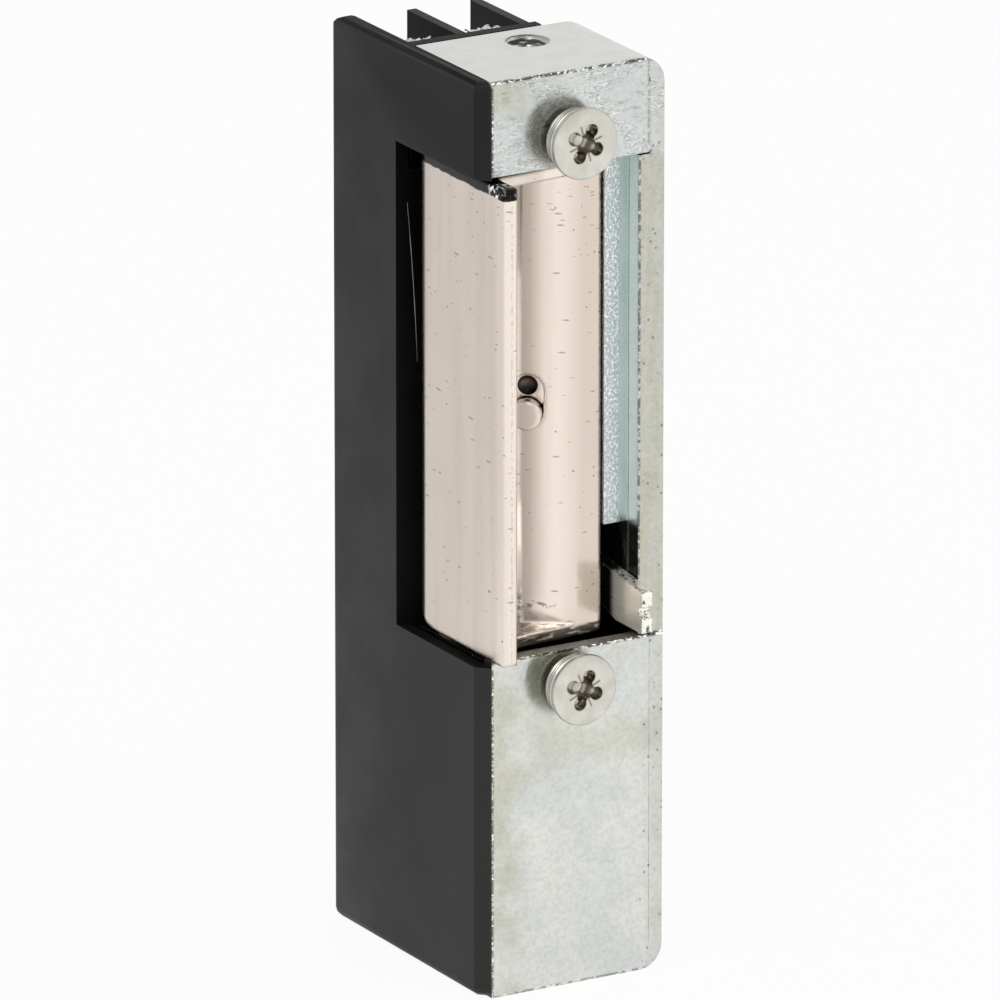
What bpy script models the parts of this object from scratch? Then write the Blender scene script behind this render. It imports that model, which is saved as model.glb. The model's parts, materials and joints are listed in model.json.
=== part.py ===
"""Electric door strike: folded steel frame, moulded housing, swinging keeper and its locking train.

Metres, +Z up. Sizes are measured from the housing's left face (x), the front plane (y, into the body)
and the underside (z). The root empty carries them to the part's own origin, under the middle of its box.
"""

import math

import bmesh
import bpy
from mathutils import Matrix, Vector

for old in list(bpy.data.objects):
    bpy.data.objects.remove(old, do_unlink=True)

# Overall body
BODY_WIDTH = 0.0205
BODY_DEPTH = 0.0295
BODY_HEIGHT = 0.0930
SHEET = 0.0015
SEAT_GAP = 0.0003
FIT_GAP = 0.00008
LAND_SEAM = 0.0002

# Folded frame
FRAME_BEND = 0.0025
FLANGE_DEPTH = 0.0147
WALL_REAR_MARGIN = 0.0006
WALL_REAR_DROP = 0.0030
FLANGE_CORNER = 0.0025
BORDER_WIDTH = 0.0028
BORDER_DEPTH = 0.0019
OPENING_BOTTOM = 0.0345
TOP_LAND = 0.0095
TOP_HOLE_RADIUS = 0.0022
TOP_HOLE_DEPTH = 0.0108
TOP_HOLE_OFFSET = 0.0014
TOP_HOLE_BITE = 0.0025

# Moulded housing
HOUSING_WALL = 0.0013
HOUSING_REAR = 0.0015
HOUSING_FLOOR = 0.0015
HOUSING_CHAMFER = 0.0012
HOUSING_ROUND = 0.0012
HOUSING_TOP_ROUND = 0.00096
WINDOW_SETBACK = 0.0017
TERMINAL_DROP = 0.0130
TERMINAL_FLOOR_THICK = 0.0016
TERMINAL_DIVIDER = 0.0012
FIN_THICK = 0.0010
FIN_SPACING = 0.0071
FIRST_FIN = 0.0079
FIN_TOP_DROP = 0.0004
FIN_REAR_MARGIN = 0.0024
REAR_CORNER = 0.0030
PARTITION_THICK = 0.0010
PARTITION_WIDTH = 0.0062
BOSS_RADIUS = 0.0026
LOWER_BOSS_REAR = 0.0047
LOWER_BOSS_RISE = 0.0035
UPPER_BOSS_REAR = 0.0043
UPPER_BOSS_DROP = 0.0060
HOUSING_SCREW_RADIUS = 0.0012
HOUSING_SCREW_HEAD = 0.0022
HOUSING_SCREW_LENGTH = 0.0080

# Bearing blocks
LOWER_BLOCK_DROP = 0.0034
LOWER_BLOCK_DEPTH = 0.0080
BLOCK_ARM_GAP = 0.0006

# Mounting screws
SCREW_OFFSET = 0.00015
UPPER_SCREW_DROP = 0.0067
LOWER_SCREW_DROP = 0.0035
SCREW_RADIUS = 0.0019
SCREW_HEAD_RADIUS = 0.0036
SCREW_HEAD_HEIGHT = 0.0022
SCREW_HEAD_RIM = 0.0003
SCREW_STAND_OFF = 0.0028
SCREW_LENGTH = 0.0110
RECESS_SPAN = 0.0042
RECESS_WIDTH = 0.0009
RECESS_DEPTH = 0.0014
RECESS_TURN = 35.0

# Keeper
KEEPER_END_GAP = 0.0002
KEEPER_AXIS = (0.0042, 0.0122)
HUB_RADIUS = 0.0032
LIP_REACH = 0.0032
LIP_THICK = 0.0016
KEEPER_SIDE_GAP = 0.00015
RIM_FRONT_LEFT = 0.0014
RIM_FRONT_RIGHT = 0.0024
RIM_THICK = 0.0013
POCKET_SETBACK = 0.00295
POCKET_ANGLE = math.radians(36.8)
POCKET_FILLET = 0.0032
WEB_THICK = 0.0023
KEEPER_EDGE = 0.0002
KEEPER_SWING = 60.0
KEEPER_PIN_RADIUS = 0.00175
KEEPER_PIN_BITE = 0.0045
RIGHT_END_THICK = 0.0016
LOBE_THICK = 0.0028
LOBE_STEPS = 6
LOBE_BACK = 0.0009
LOBE_ROOT_FRONT = 0.0022
LOBE_ROOT_REAR = 0.0026

# Hold-open pin in the pocket floor
PIN_RADIUS = 0.0015
PIN_DROP = 0.0013
PIN_ALONG_FLOOR = 0.0047
PIN_STAND_OUT = 0.00154
PIN_LENGTH = 0.0046
PIN_EDGE = 0.00015
PIN_SLOT_RISE = 0.0022
LEAF_THICK = 0.0004
LEAF_WIDTH = 0.0036
LEAF_LENGTH = 0.0150
LEAF_FOOT = 0.0030

# Bearing plate at the right of the keeper
PLATE_THICK = 0.0037
PLATE_FRONT = 0.0020
PLATE_REAR = 0.0145
PLATE_BOTTOM = 0.0458
PLATE_TOP_DROP = 0.0052
TONGUE_THICK = 0.0010
TONGUE_FRONT = 0.0080
TONGUE_REAR = 0.0208
TONGUE_BOTTOM = 0.0370
TONGUE_TOP = 0.0520
RIVET_RADIUS = 0.0012
RIVET_HEAD = 0.0021
RIVET_BITE = 0.0022
RIVET_INSET = 0.0042

# Locking lever, its nose under the keeper's lobe
LEVER_AXIS = (0.0105, 0.0400)
LEVER_SETBACK = 0.00235
LEVER_THICK = 0.0016
NOSE_RADIUS = 0.0012
NOSE_LENGTH = 0.0042
LEVER_BOSS = 0.0022
LEVER_WIDTH = 0.0026
LEVER_TAIL = 0.0077
TAIL_WIDTH = 0.0015
LEVER_SWING = 20.0
LEVER_PIN_RADIUS = 0.0009
LOBE_GAP = 0.0003
LOBE_RELIEF = 0.0007

# Electromagnet
COIL_OFFSET = 0.0002
COIL_REAR_ROOM = 0.0105
CORE_RADIUS = 0.0030
BOBBIN_RADIUS = 0.0072
WINDING_RADIUS = 0.0066
BOBBIN_WALL = 0.0008
BOBBIN_BOTTOM = 0.0040
BOBBIN_TOP = 0.0270
YOKE_THICK = 0.0015
YOKE_WIDTH = 0.0060
ARMATURE_THICK = 0.0015
ARMATURE_WIDTH = 0.0060
ARMATURE_GAP = 0.0013
TAIL_GAP = 0.0005
TAIL_BITE = 0.00012
HEEL_LENGTH = 0.0004
ARMATURE_OFFSET = 0.0015
TENON_RADIUS = 0.0016
SPRING_STRIP = 0.0004
STRIP_WIDTH = 0.0040
STRIP_RUN = 0.0050

# Release lever
RELEASE_AXIS = (0.0180, 0.0400)
RELEASE_THICK = 0.0012
RELEASE_REACH = 0.0030
RELEASE_TIP_BOTTOM = 0.0358
RELEASE_TIP_TOP = 0.0400
RELEASE_BOSS = 0.0022
RELEASE_GAP = 0.00035
RELEASE_PIN_RADIUS = 0.0010
RELEASE_PIN_HEAD = 0.0018
NOTCH_DEPTH = 0.0006
NOTCH_HEIGHT = 0.0012
HEEL_PLACE = (0.0220, 0.0345)
HEEL_SIZE = 0.0016
HEEL_RUN = 0.0024

# Springs and wires
KEEPER_WIRE = 0.0006
KEEPER_TURNS = 4
LEVER_WIRE = 0.0004
LEVER_TURNS = 2
COIL_GAP = 0.00045
LEG_DEPTH = 0.0018
LEAD_RADIUS = 0.0006
LEAD_STEPS = 3
LEAD_ARMATURE_GAP = 0.00065
LEFT_LEAD = ((0, 0.0000, 0.848), (0, 0.0002, 0.62), (0, 0.0001, 0.336))
RIGHT_LEAD = (
    (0, -0.0001, 0.848),
    (0.03, -0.0009, 0.62),
    (0.18, -0.0013, 0.393),
    (0.39, -0.0014, 0.26),
    (0.50, -0.0014, 0.18),
    (0.82, -0.0014, 0.127),
    (0.97, -0.0014, 0.074),
)

# Terminals
TERMINAL_SETBACK = 0.0046
CLAMP_SIZE = 0.0048
CLAMP_HEIGHT = 0.0072
CLAMP_WIRE_RADIUS = 0.0014
CLAMP_WIRE_RISE = 0.0024
TERMINAL_SCREW_RADIUS = 0.0014
TERMINAL_HEAD_RADIUS = 0.0021
TERMINAL_HEAD_HEIGHT = 0.0016
TERMINAL_TOP_DROP = 0.0012
TERMINAL_SCREW_RISE = 0.0043
SLOT_WIDTH = 0.0006
SLOT_DEPTH = 0.0007

# Places that follow from the sizes above
OPENING_TOP = BODY_HEIGHT - TOP_LAND
TERMINAL_FLOOR = BODY_HEIGHT - TERMINAL_DROP
UPPER_SCREW = BODY_HEIGHT - UPPER_SCREW_DROP
LOWER_SCREW = OPENING_BOTTOM - LOWER_SCREW_DROP
SCREW_MIDDLE = BODY_WIDTH / 2 - SCREW_OFFSET
TOP_HOLE_PLACE = (SCREW_MIDDLE + TOP_HOLE_OFFSET, TOP_HOLE_DEPTH)
LOWER_BOSS = (BODY_DEPTH - LOWER_BOSS_REAR, OPENING_BOTTOM + LOWER_BOSS_RISE)
UPPER_BOSS = (BODY_DEPTH - UPPER_BOSS_REAR, TERMINAL_FLOOR - UPPER_BOSS_DROP)
WALL_INSIDE = BODY_WIDTH - SHEET
INSIDE_RIGHT = WALL_INSIDE - SEAT_GAP
BLOCK_FRONT = SHEET + SEAT_GAP
BLOCK_LEFT = HOUSING_WALL + SEAT_GAP
PLATE_LEFT = INSIDE_RIGHT - PLATE_THICK
PLATE_TOP = BODY_HEIGHT - PLATE_TOP_DROP
KEEPER_BOTTOM = OPENING_BOTTOM + KEEPER_END_GAP
KEEPER_TOP = OPENING_TOP - SEAT_GAP - KEEPER_END_GAP
KEEPER_RIGHT = PLATE_LEFT - KEEPER_SIDE_GAP
POCKET_START = KEEPER_RIGHT - POCKET_SETBACK
NOSE_HEIGHT = (KEEPER_BOTTOM + KEEPER_TOP) / 2
PIN_HEIGHT = NOSE_HEIGHT - PIN_DROP
LEVER_MIDDLE = KEEPER_RIGHT - LEVER_SETBACK
COIL_MIDDLE = (
    (HOUSING_WALL + INSIDE_RIGHT) / 2 + COIL_OFFSET,
    BODY_DEPTH - HOUSING_REAR - COIL_REAR_ROOM,
)
ARMATURE_MIDDLE = LEVER_MIDDLE - ARMATURE_OFFSET
BLOCK_ARM_RIGHT = ARMATURE_MIDDLE - ARMATURE_WIDTH / 2 - BLOCK_ARM_GAP
HEEL_LEFT = PLATE_LEFT - HEEL_RUN
WINDOW_DEPTH = FLANGE_DEPTH + WINDOW_SETBACK
TERMINAL_ROW = FLANGE_DEPTH + TERMINAL_SETBACK
FAR = 0.1
TINY = 1e-6
SHARP_ANGLE = 35.0

root = bpy.data.objects.new("strike", None)
root.location = (-BODY_WIDTH / 2, -(BODY_DEPTH - LIP_REACH) / 2, 0)
bpy.context.scene.collection.objects.link(root)


def finish_of(name, colour, roughness, metallic):
    material = bpy.data.materials.new(name)
    material.use_nodes = True
    shader = material.node_tree.nodes["Principled BSDF"]
    shader.inputs["Base Color"].default_value = (*colour, 1)
    shader.inputs["Roughness"].default_value = roughness
    shader.inputs["Metallic"].default_value = metallic
    return material


ZINC = finish_of("zinc_plated_steel", (0.70, 0.73, 0.72), 0.38, 1.0)
NICKEL = finish_of("nickel_plated_keeper", (0.80, 0.74, 0.69), 0.18, 1.0)
BLACK = finish_of("black_plastic", (0.035, 0.033, 0.035), 0.55, 0.0)
DARK_STEEL = finish_of("bright_steel", (0.55, 0.52, 0.48), 0.30, 1.0)
CAST = finish_of("zinc_casting", (0.48, 0.49, 0.50), 0.45, 1.0)
COPPER = finish_of("enamelled_copper", (0.55, 0.22, 0.08), 0.35, 1.0)
NYLON = finish_of("natural_nylon", (0.78, 0.76, 0.70), 0.50, 0.0)
BRASS = finish_of("brass", (0.72, 0.55, 0.26), 0.30, 1.0)
WIRE_COAT = finish_of("wire_insulation", (0.45, 0.03, 0.03), 0.50, 0.0)


def box(low, high):
    shape = bmesh.new()
    bmesh.ops.create_cube(shape, size=1)
    size = [b - a for a, b in zip(low, high)]
    middle = [(a + b) / 2 for a, b in zip(low, high)]
    for v in shape.verts:
        v.co = Vector([v.co[i] * size[i] + middle[i] for i in range(3)])
    return shape


def prism(outline, axis, low, high):
    """A closed outline in the two other axes, in x, y, z order, pushed along axis."""
    shape = bmesh.new()
    others = [i for i in range(3) if i != axis]
    rings = []
    for level in (low, high):
        ring = []
        for point in outline:
            place = [0.0, 0.0, 0.0]
            place[others[0]], place[others[1]] = point
            place[axis] = level
            ring.append(shape.verts.new(place))
        rings.append(ring)
    shape.faces.new(rings[0])
    shape.faces.new(rings[1])
    count = len(outline)
    for i in range(count):
        j = (i + 1) % count
        shape.faces.new((rings[0][i], rings[0][j], rings[1][j], rings[1][i]))
    bmesh.ops.recalc_face_normals(shape, faces=shape.faces)
    return shape


def arc(centre, radius, start, end, steps):
    """Points on an arc, angles in degrees, both ends included."""
    points = []
    for i in range(steps + 1):
        turn = math.radians(start + (end - start) * i / steps)
        points.append((centre[0] + radius * math.cos(turn), centre[1] + radius * math.sin(turn)))
    return points


def rod(axis, centre, profile, sides=24):
    """A turned piece: profile is a list of (place along axis, radius), centre its two other coordinates."""
    shape = bmesh.new()
    others = [i for i in range(3) if i != axis]
    rings = []
    for along, radius in profile:
        ring = []
        for i in range(sides):
            turn = 2 * math.pi * i / sides
            place = [0.0, 0.0, 0.0]
            place[axis] = along
            place[others[0]] = centre[0] + radius * math.cos(turn)
            place[others[1]] = centre[1] + radius * math.sin(turn)
            ring.append(shape.verts.new(place))
        rings.append(ring)
    for a, b in zip(rings, rings[1:]):
        for i in range(sides):
            j = (i + 1) % sides
            shape.faces.new((a[i], a[j], b[j], b[i]))
    shape.faces.new(rings[0])
    shape.faces.new(rings[-1])
    bmesh.ops.recalc_face_normals(shape, faces=shape.faces)
    return shape


def turned(shape, pivot, axis, degrees):
    """The shape turned about an axis through pivot."""
    spin = Matrix.Rotation(math.radians(degrees), 4, axis)
    away = Matrix.Translation(Vector(pivot))
    bmesh.ops.transform(shape, matrix=away @ spin @ away.inverted(), verts=shape.verts)
    return shape


def hidden(name, shape):
    """A cutter or an added form, kept out of sight."""
    mesh = bpy.data.meshes.new(name)
    shape.to_mesh(mesh)
    shape.free()
    helper = bpy.data.objects.new(name, mesh)
    helper.parent = root
    helper.hide_render = True
    helper.display_type = "WIRE"
    bpy.context.scene.collection.objects.link(helper)
    return helper


def piece(name, shape, material, pivot=(0, 0, 0), added=(), cuts=()):
    """One named sub-part with its origin at pivot; added forms are joined to it, then cuts taken out."""
    for v in shape.verts:
        v.co -= Vector(pivot)
    mesh = bpy.data.meshes.new(name)
    shape.to_mesh(mesh)
    shape.free()
    mesh.materials.append(material)
    made = bpy.data.objects.new(name, mesh)
    made.location = pivot
    made.parent = root
    bpy.context.scene.collection.objects.link(made)
    for number, form in enumerate(added):
        join = made.modifiers.new(f"join_{number}", "BOOLEAN")
        join.operation = "UNION"
        join.object = hidden(f"{name}_join_{number}", form)
    for number, form in enumerate(cuts):
        cut = made.modifiers.new(f"cut_{number}", "BOOLEAN")
        cut.operation = "DIFFERENCE"
        cut.object = hidden(f"{name}_cut_{number}", form)
    mesh.shade_smooth()
    mesh.set_sharp_from_angle(angle=math.radians(SHARP_ANGLE))
    return made


def tube(name, points, radius, material, resolution=1, pivot=(0, 0, 0)):
    """A round wire through the points, with closed ends."""
    curve = bpy.data.curves.new(name, "CURVE")
    curve.dimensions = "3D"
    curve.bevel_depth = radius
    curve.bevel_resolution = resolution
    curve.use_fill_caps = True
    spline = curve.splines.new("POLY")
    spline.points.add(len(points) - 1)
    for target, point in zip(spline.points, points):
        target.co = (*(Vector(point) - Vector(pivot)), 1)
    curve.materials.append(material)
    made = bpy.data.objects.new(name, curve)
    made.location = pivot
    made.parent = root
    bpy.context.scene.collection.objects.link(made)
    return made


def steel_frame():
    """One folded sheet: C-section of wall and flanges, the two front lands bent down from the flanges."""
    left, right, top = HOUSING_WALL, BODY_WIDTH, BODY_HEIGHT
    bend = FRAME_BEND
    inner = FRAME_BEND - SHEET
    section = [(left, 0)]
    section += arc((right - bend, bend), bend, -90, 0, 6)
    section += arc((right - bend, top - bend), bend, 0, 90, 6)
    section += [(left, top), (left, top - SHEET)]
    section += arc((right - bend, top - bend), inner, 90, 0, 4)
    section += arc((right - bend, bend), inner, 0, -90, 4)
    section += [(left, SHEET)]
    land_right = WALL_INSIDE - LAND_SEAM
    lands = [
        box((left, 0, OPENING_TOP), (land_right, SHEET, top - SHEET / 2)),
        box((left, 0, SHEET / 2), (land_right, SHEET, OPENING_BOTTOM)),
    ]
    border = box(
        (right - BORDER_WIDTH, 0, OPENING_BOTTOM + LAND_SEAM),
        (right - SHEET / 2, BORDER_DEPTH, OPENING_TOP - LAND_SEAM),
    )
    rear_wall = box(
        (WALL_INSIDE, FLANGE_DEPTH - SHEET, bend),
        (right, BODY_DEPTH - WALL_REAR_MARGIN, top - bend - WALL_REAR_DROP),
    )
    top_hole = [(top - SHEET * 2, TOP_HOLE_RADIUS), (top + SHEET, TOP_HOLE_RADIUS)]
    corner = corner_cut((right, FLANGE_DEPTH), FLANGE_CORNER)
    cuts = [rod(2, TOP_HOLE_PLACE, top_hole), prism(corner, 2, top - bend, FAR * 2)]
    for height in (UPPER_SCREW, LOWER_SCREW):
        hole = SCREW_RADIUS + FIT_GAP
        cuts.append(rod(1, (SCREW_MIDDLE, height), [(-SHEET, hole), (SHEET * 2, hole)]))
    for spot in (LOWER_BOSS, UPPER_BOSS):
        cuts.append(countersink(spot, HOUSING_SCREW_RADIUS, HOUSING_SCREW_HEAD))
    for spot in rivet_spots():
        cuts.append(countersink(spot, RIVET_RADIUS, RIVET_HEAD))
    strip = prism(section, 1, 0, FLANGE_DEPTH)
    return piece("steel_frame", strip, ZINC, added=[*lands, border, rear_wall], cuts=cuts)


def corner_cut(corner, radius):
    """Outline of what a rounding takes off the far corner of a square."""
    a, b = corner
    outline = arc((a - radius, b - radius), radius, 90, 0, 6)
    return [*outline, (a + radius, b - radius), (a + radius, b + radius), (a - radius, b + radius)]


def rivet_spots():
    middle = (PLATE_FRONT + PLATE_REAR) / 2
    return ((middle, PLATE_BOTTOM + RIVET_INSET), (middle, PLATE_TOP - RIVET_INSET))


def countersink(spot, radius, head):
    """The cut in the right wall for a flush fastener along x."""
    profile = [
        (WALL_INSIDE - SHEET, radius + FIT_GAP),
        (BODY_WIDTH - (head - radius), radius + FIT_GAP),
        (BODY_WIDTH, head + FIT_GAP),
        (BODY_WIDTH + SHEET, head + FIT_GAP),
    ]
    return rod(0, spot, profile, 16)


def flush_fastener(name, spot, radius, head, inner_end, material):
    """A countersunk fastener along x, its head flush with the wall's outer face."""
    profile = [
        (inner_end, radius),
        (BODY_WIDTH - (head - radius), radius),
        (BODY_WIDTH, head),
    ]
    return piece(name, rod(0, spot, profile, 16), material)


def fin_left(number):
    return FIRST_FIN + FIN_SPACING * number - FIN_THICK / 2


def housing():
    """The moulded shell: cut from one rounded block, open to the right and to the front."""
    left, right, top = 0.0, INSIDE_RIGHT, BODY_HEIGHT
    round_ = HOUSING_ROUND
    outline = [(HOUSING_CHAMFER, 0), (right, 0), (right, BODY_DEPTH)]
    outline += arc((round_, BODY_DEPTH - round_), round_, 90, 180, 4)
    outline += [(left, HOUSING_CHAMFER)]
    block = prism(outline, 2, 0, top)
    side_edges = []
    for edge in block.edges:
        a, b = (v.co for v in edge.verts)
        flat = abs(a.z - b.z) < TINY
        outer = max(a.x, b.x) < round_ + TINY or min(a.y, b.y) > BODY_DEPTH - TINY
        if flat and outer:
            side_edges.append(edge)
    bmesh.ops.bevel(block, geom=side_edges, offset=HOUSING_TOP_ROUND, segments=3, affect="EDGES", profile=0.5)
    wall = HOUSING_WALL
    inside_rear = BODY_DEPTH - HOUSING_REAR
    ceiling = TERMINAL_FLOOR - TERMINAL_FLOOR_THICK
    divider_rear = FLANGE_DEPTH + SEAT_GAP + TERMINAL_DIVIDER
    cavity = box((wall, FLANGE_DEPTH, HOUSING_FLOOR), (FAR, inside_rear, ceiling))
    front = box((wall, -FAR, -FAR), (FAR, FLANGE_DEPTH + SEAT_GAP, FAR * 2))
    window = box((-FAR, -FAR, OPENING_BOTTOM - SEAT_GAP * 2), (FAR, WINDOW_DEPTH, OPENING_TOP - SEAT_GAP))
    pockets = []
    starts = [wall, fin_left(0) + FIN_THICK, fin_left(1) + FIN_THICK]
    ends = [fin_left(0), fin_left(1), FAR]
    for start, end in zip(starts, ends):
        pockets.append(box((start, divider_rear, TERMINAL_FLOOR), (end, FAR, FAR * 2)))
    fin_tops = box((wall, divider_rear, top - FIN_TOP_DROP), (FAR, FAR, FAR * 2))
    divider_end = box((fin_left(1) + FIN_THICK, 0, TERMINAL_FLOOR), (FAR, divider_rear + SHEET, FAR * 2))
    rear_corner = prism(corner_cut((BODY_DEPTH, top), REAR_CORNER), 0, -FAR, FAR)
    fin_ends = box((wall, BODY_DEPTH - FIN_REAR_MARGIN, TERMINAL_FLOOR), (FAR, FAR, FAR * 2))
    added = [
        box(
            (wall / 2, WINDOW_DEPTH, OPENING_BOTTOM - SHEET),
            (wall + PARTITION_WIDTH, WINDOW_DEPTH + PARTITION_THICK, ceiling + TERMINAL_FLOOR_THICK / 2),
        )
    ]
    bores = []
    for spot in (LOWER_BOSS, UPPER_BOSS):
        added.append(rod(0, spot, [(wall / 2, BOSS_RADIUS), (right, BOSS_RADIUS)], 16))
        bore = HOUSING_SCREW_RADIUS + FIT_GAP
        start = BODY_WIDTH - HOUSING_SCREW_LENGTH - SEAT_GAP
        bores.append(rod(0, spot, [(start, bore), (FAR, bore)], 16))
    lead = LEAD_RADIUS + SEAT_GAP
    for x in terminal_places().values():
        bores.append(rod(2, (x, TERMINAL_ROW), [(ceiling - SHEET, lead), (TERMINAL_FLOOR + SHEET, lead)], 12))
    shell = piece("housing", block, BLACK)
    first = [cavity, front, window, *pockets, divider_end, fin_tops, fin_ends, rear_corner]
    apply_steps(shell, [("DIFFERENCE", form) for form in first])
    apply_steps(shell, [("UNION", form) for form in added])
    apply_steps(shell, [("DIFFERENCE", form) for form in bores])
    return shell


def apply_steps(target, steps):
    """Boolean steps in the order given."""
    for operation, form in steps:
        number = len(target.modifiers)
        step = target.modifiers.new(f"step_{number}", "BOOLEAN")
        step.operation = operation
        step.object = hidden(f"{target.name}_step_{number}", form)


def upper_bearing_block():
    """Casting behind the upper land: takes the mounting screw, the keeper pin and the keeper spring."""
    top = BODY_HEIGHT - SHEET - SEAT_GAP
    body = box((BLOCK_LEFT, BLOCK_FRONT, OPENING_TOP), (PLATE_LEFT - SEAT_GAP, FLANGE_DEPTH, top))
    bore = SCREW_RADIUS + FIT_GAP
    pin = KEEPER_PIN_RADIUS + FIT_GAP
    cavity = spring_radius() + KEEPER_WIRE / 2 + SEAT_GAP
    cavity_top = OPENING_TOP + spring_height() + SEAT_GAP
    top_hole = [(top - TOP_HOLE_BITE, TOP_HOLE_RADIUS), (FAR, TOP_HOLE_RADIUS)]
    cuts = [
        rod(1, (SCREW_MIDDLE, UPPER_SCREW), [(0, bore), (FAR, bore)]),
        rod(2, TOP_HOLE_PLACE, top_hole),
        rod(2, KEEPER_AXIS, [(OPENING_TOP - SHEET, cavity), (cavity_top, cavity)], 20),
        rod(2, KEEPER_AXIS, [(OPENING_TOP, pin), (pin_top() + SEAT_GAP, pin)], 20),
    ]
    return piece("upper_bearing_block", body, CAST, cuts=cuts)


def spring_radius():
    return KEEPER_PIN_RADIUS + SEAT_GAP + KEEPER_WIRE / 2


def spring_height():
    """From the block's underside to the top of the last turn."""
    return SEAT_GAP + KEEPER_WIRE + KEEPER_TURNS * (KEEPER_WIRE + COIL_GAP)


def pin_top():
    return OPENING_TOP + spring_height() + SEAT_GAP + KEEPER_PIN_RADIUS


def lower_block_top():
    return OPENING_BOTTOM - SEAT_GAP


def lower_bearing_block():
    """Casting behind the lower land, with an arm to the left for the foot of the keeper pin."""
    low = LOWER_SCREW - LOWER_BLOCK_DROP
    body = box((BLOCK_LEFT, BLOCK_FRONT, low), (INSIDE_RIGHT, LOWER_BLOCK_DEPTH, lower_block_top()))
    arm = box((BLOCK_LEFT, BLOCK_FRONT + SHEET, low), (BLOCK_ARM_RIGHT, FLANGE_DEPTH, lower_block_top()))
    bore = SCREW_RADIUS + FIT_GAP
    pin = KEEPER_PIN_RADIUS + FIT_GAP
    foot = lower_block_top() - KEEPER_PIN_BITE - SEAT_GAP
    cuts = [
        rod(1, (SCREW_MIDDLE, LOWER_SCREW), [(0, bore), (FAR, bore)]),
        rod(2, KEEPER_AXIS, [(foot, pin), (FAR, pin)], 20),
    ]
    return piece("lower_bearing_block", body, CAST, added=[arm], cuts=cuts)


def mounting_screw(name, height):
    """Countersunk screw, part driven, with a cross recess in its head."""
    front = -SCREW_STAND_OFF
    rim = front + SCREW_HEAD_RIM
    under = front + SCREW_HEAD_HEIGHT
    profile = [
        (front, SCREW_HEAD_RADIUS),
        (rim, SCREW_HEAD_RADIUS),
        (under, SCREW_RADIUS),
        (front + SCREW_LENGTH, SCREW_RADIUS),
    ]
    half, wide = RECESS_SPAN / 2, RECESS_WIDTH / 2
    deep = front + RECESS_DEPTH
    x, z = SCREW_MIDDLE, height
    cross = [
        (half, wide), (wide, wide), (wide, half), (-wide, half), (-wide, wide), (-half, wide),
        (-half, -wide), (-wide, -wide), (-wide, -half), (wide, -half), (wide, -wide), (half, -wide),
    ]
    recess = prism([(x + a, z + b) for a, b in cross], 1, front - SHEET, deep)
    turned(recess, (x, 0, z), "Y", RECESS_TURN)
    return piece(name, rod(1, (x, z), profile), ZINC, cuts=[recess])


def keeper_pin():
    foot = lower_block_top() - KEEPER_PIN_BITE
    profile = [(foot, KEEPER_PIN_RADIUS), (pin_top(), KEEPER_PIN_RADIUS)]
    return piece("keeper_pin", rod(2, KEEPER_AXIS, profile, 20), DARK_STEEL)


def floor_line(along, behind=0.0):
    """A point of the pocket floor, measured back from its front edge, or that far behind the floor."""
    slope = (RIM_FRONT_RIGHT - RIM_FRONT_LEFT) / (KEEPER_RIGHT - lip_inside())
    front = RIM_FRONT_LEFT + slope * (POCKET_START - lip_inside())
    c, s = math.cos(POCKET_ANGLE), math.sin(POCKET_ANGLE)
    return (POCKET_START - c * along + s * behind, front + s * along + c * behind)


def lip_outside():
    return KEEPER_AXIS[0] - HUB_RADIUS


def lip_inside():
    return lip_outside() + LIP_THICK


def keeper_outline():
    """Seen from above: lip with a full-round front, rims' front edge, right end, web and hub."""
    half = LIP_THICK / 2
    outline = arc((lip_outside() + half, half - LIP_REACH), half, 180, 360, 8)
    outline += [(lip_inside(), RIM_FRONT_LEFT), (KEEPER_RIGHT, RIM_FRONT_RIGHT)]
    rear = RIM_FRONT_RIGHT + RIGHT_END_THICK
    at_floor = floor_line(0, WEB_THICK)
    along = (rear - at_floor[1]) / math.sin(POCKET_ANGLE)
    outline += [(KEEPER_RIGHT, rear), floor_line(along, WEB_THICK)]
    offset = (KEEPER_AXIS[0] - at_floor[0]) * math.sin(POCKET_ANGLE)
    offset += (KEEPER_AXIS[1] - at_floor[1]) * math.cos(POCKET_ANGLE)
    start = math.degrees(math.acos(offset / HUB_RADIUS) - POCKET_ANGLE) - 90
    return outline + arc(KEEPER_AXIS, HUB_RADIUS, start, 180, 16)


def pocket_outline():
    """The trough: slanted floor, fillet and the lip's inner face, open to the front."""
    corner_along = (POCKET_START - lip_inside()) / math.cos(POCKET_ANGLE)
    corner = floor_line(corner_along)
    opening = math.pi / 2 - POCKET_ANGLE
    reach = POCKET_FILLET / math.tan(opening / 2)
    centre = (lip_inside() + POCKET_FILLET, corner[1] - reach)
    trough = arc(centre, POCKET_FILLET, 180, math.degrees(opening), 10)
    front = -LIP_REACH
    return [(lip_inside(), front), *trough, floor_line(0), (POCKET_START, front)]


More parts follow.
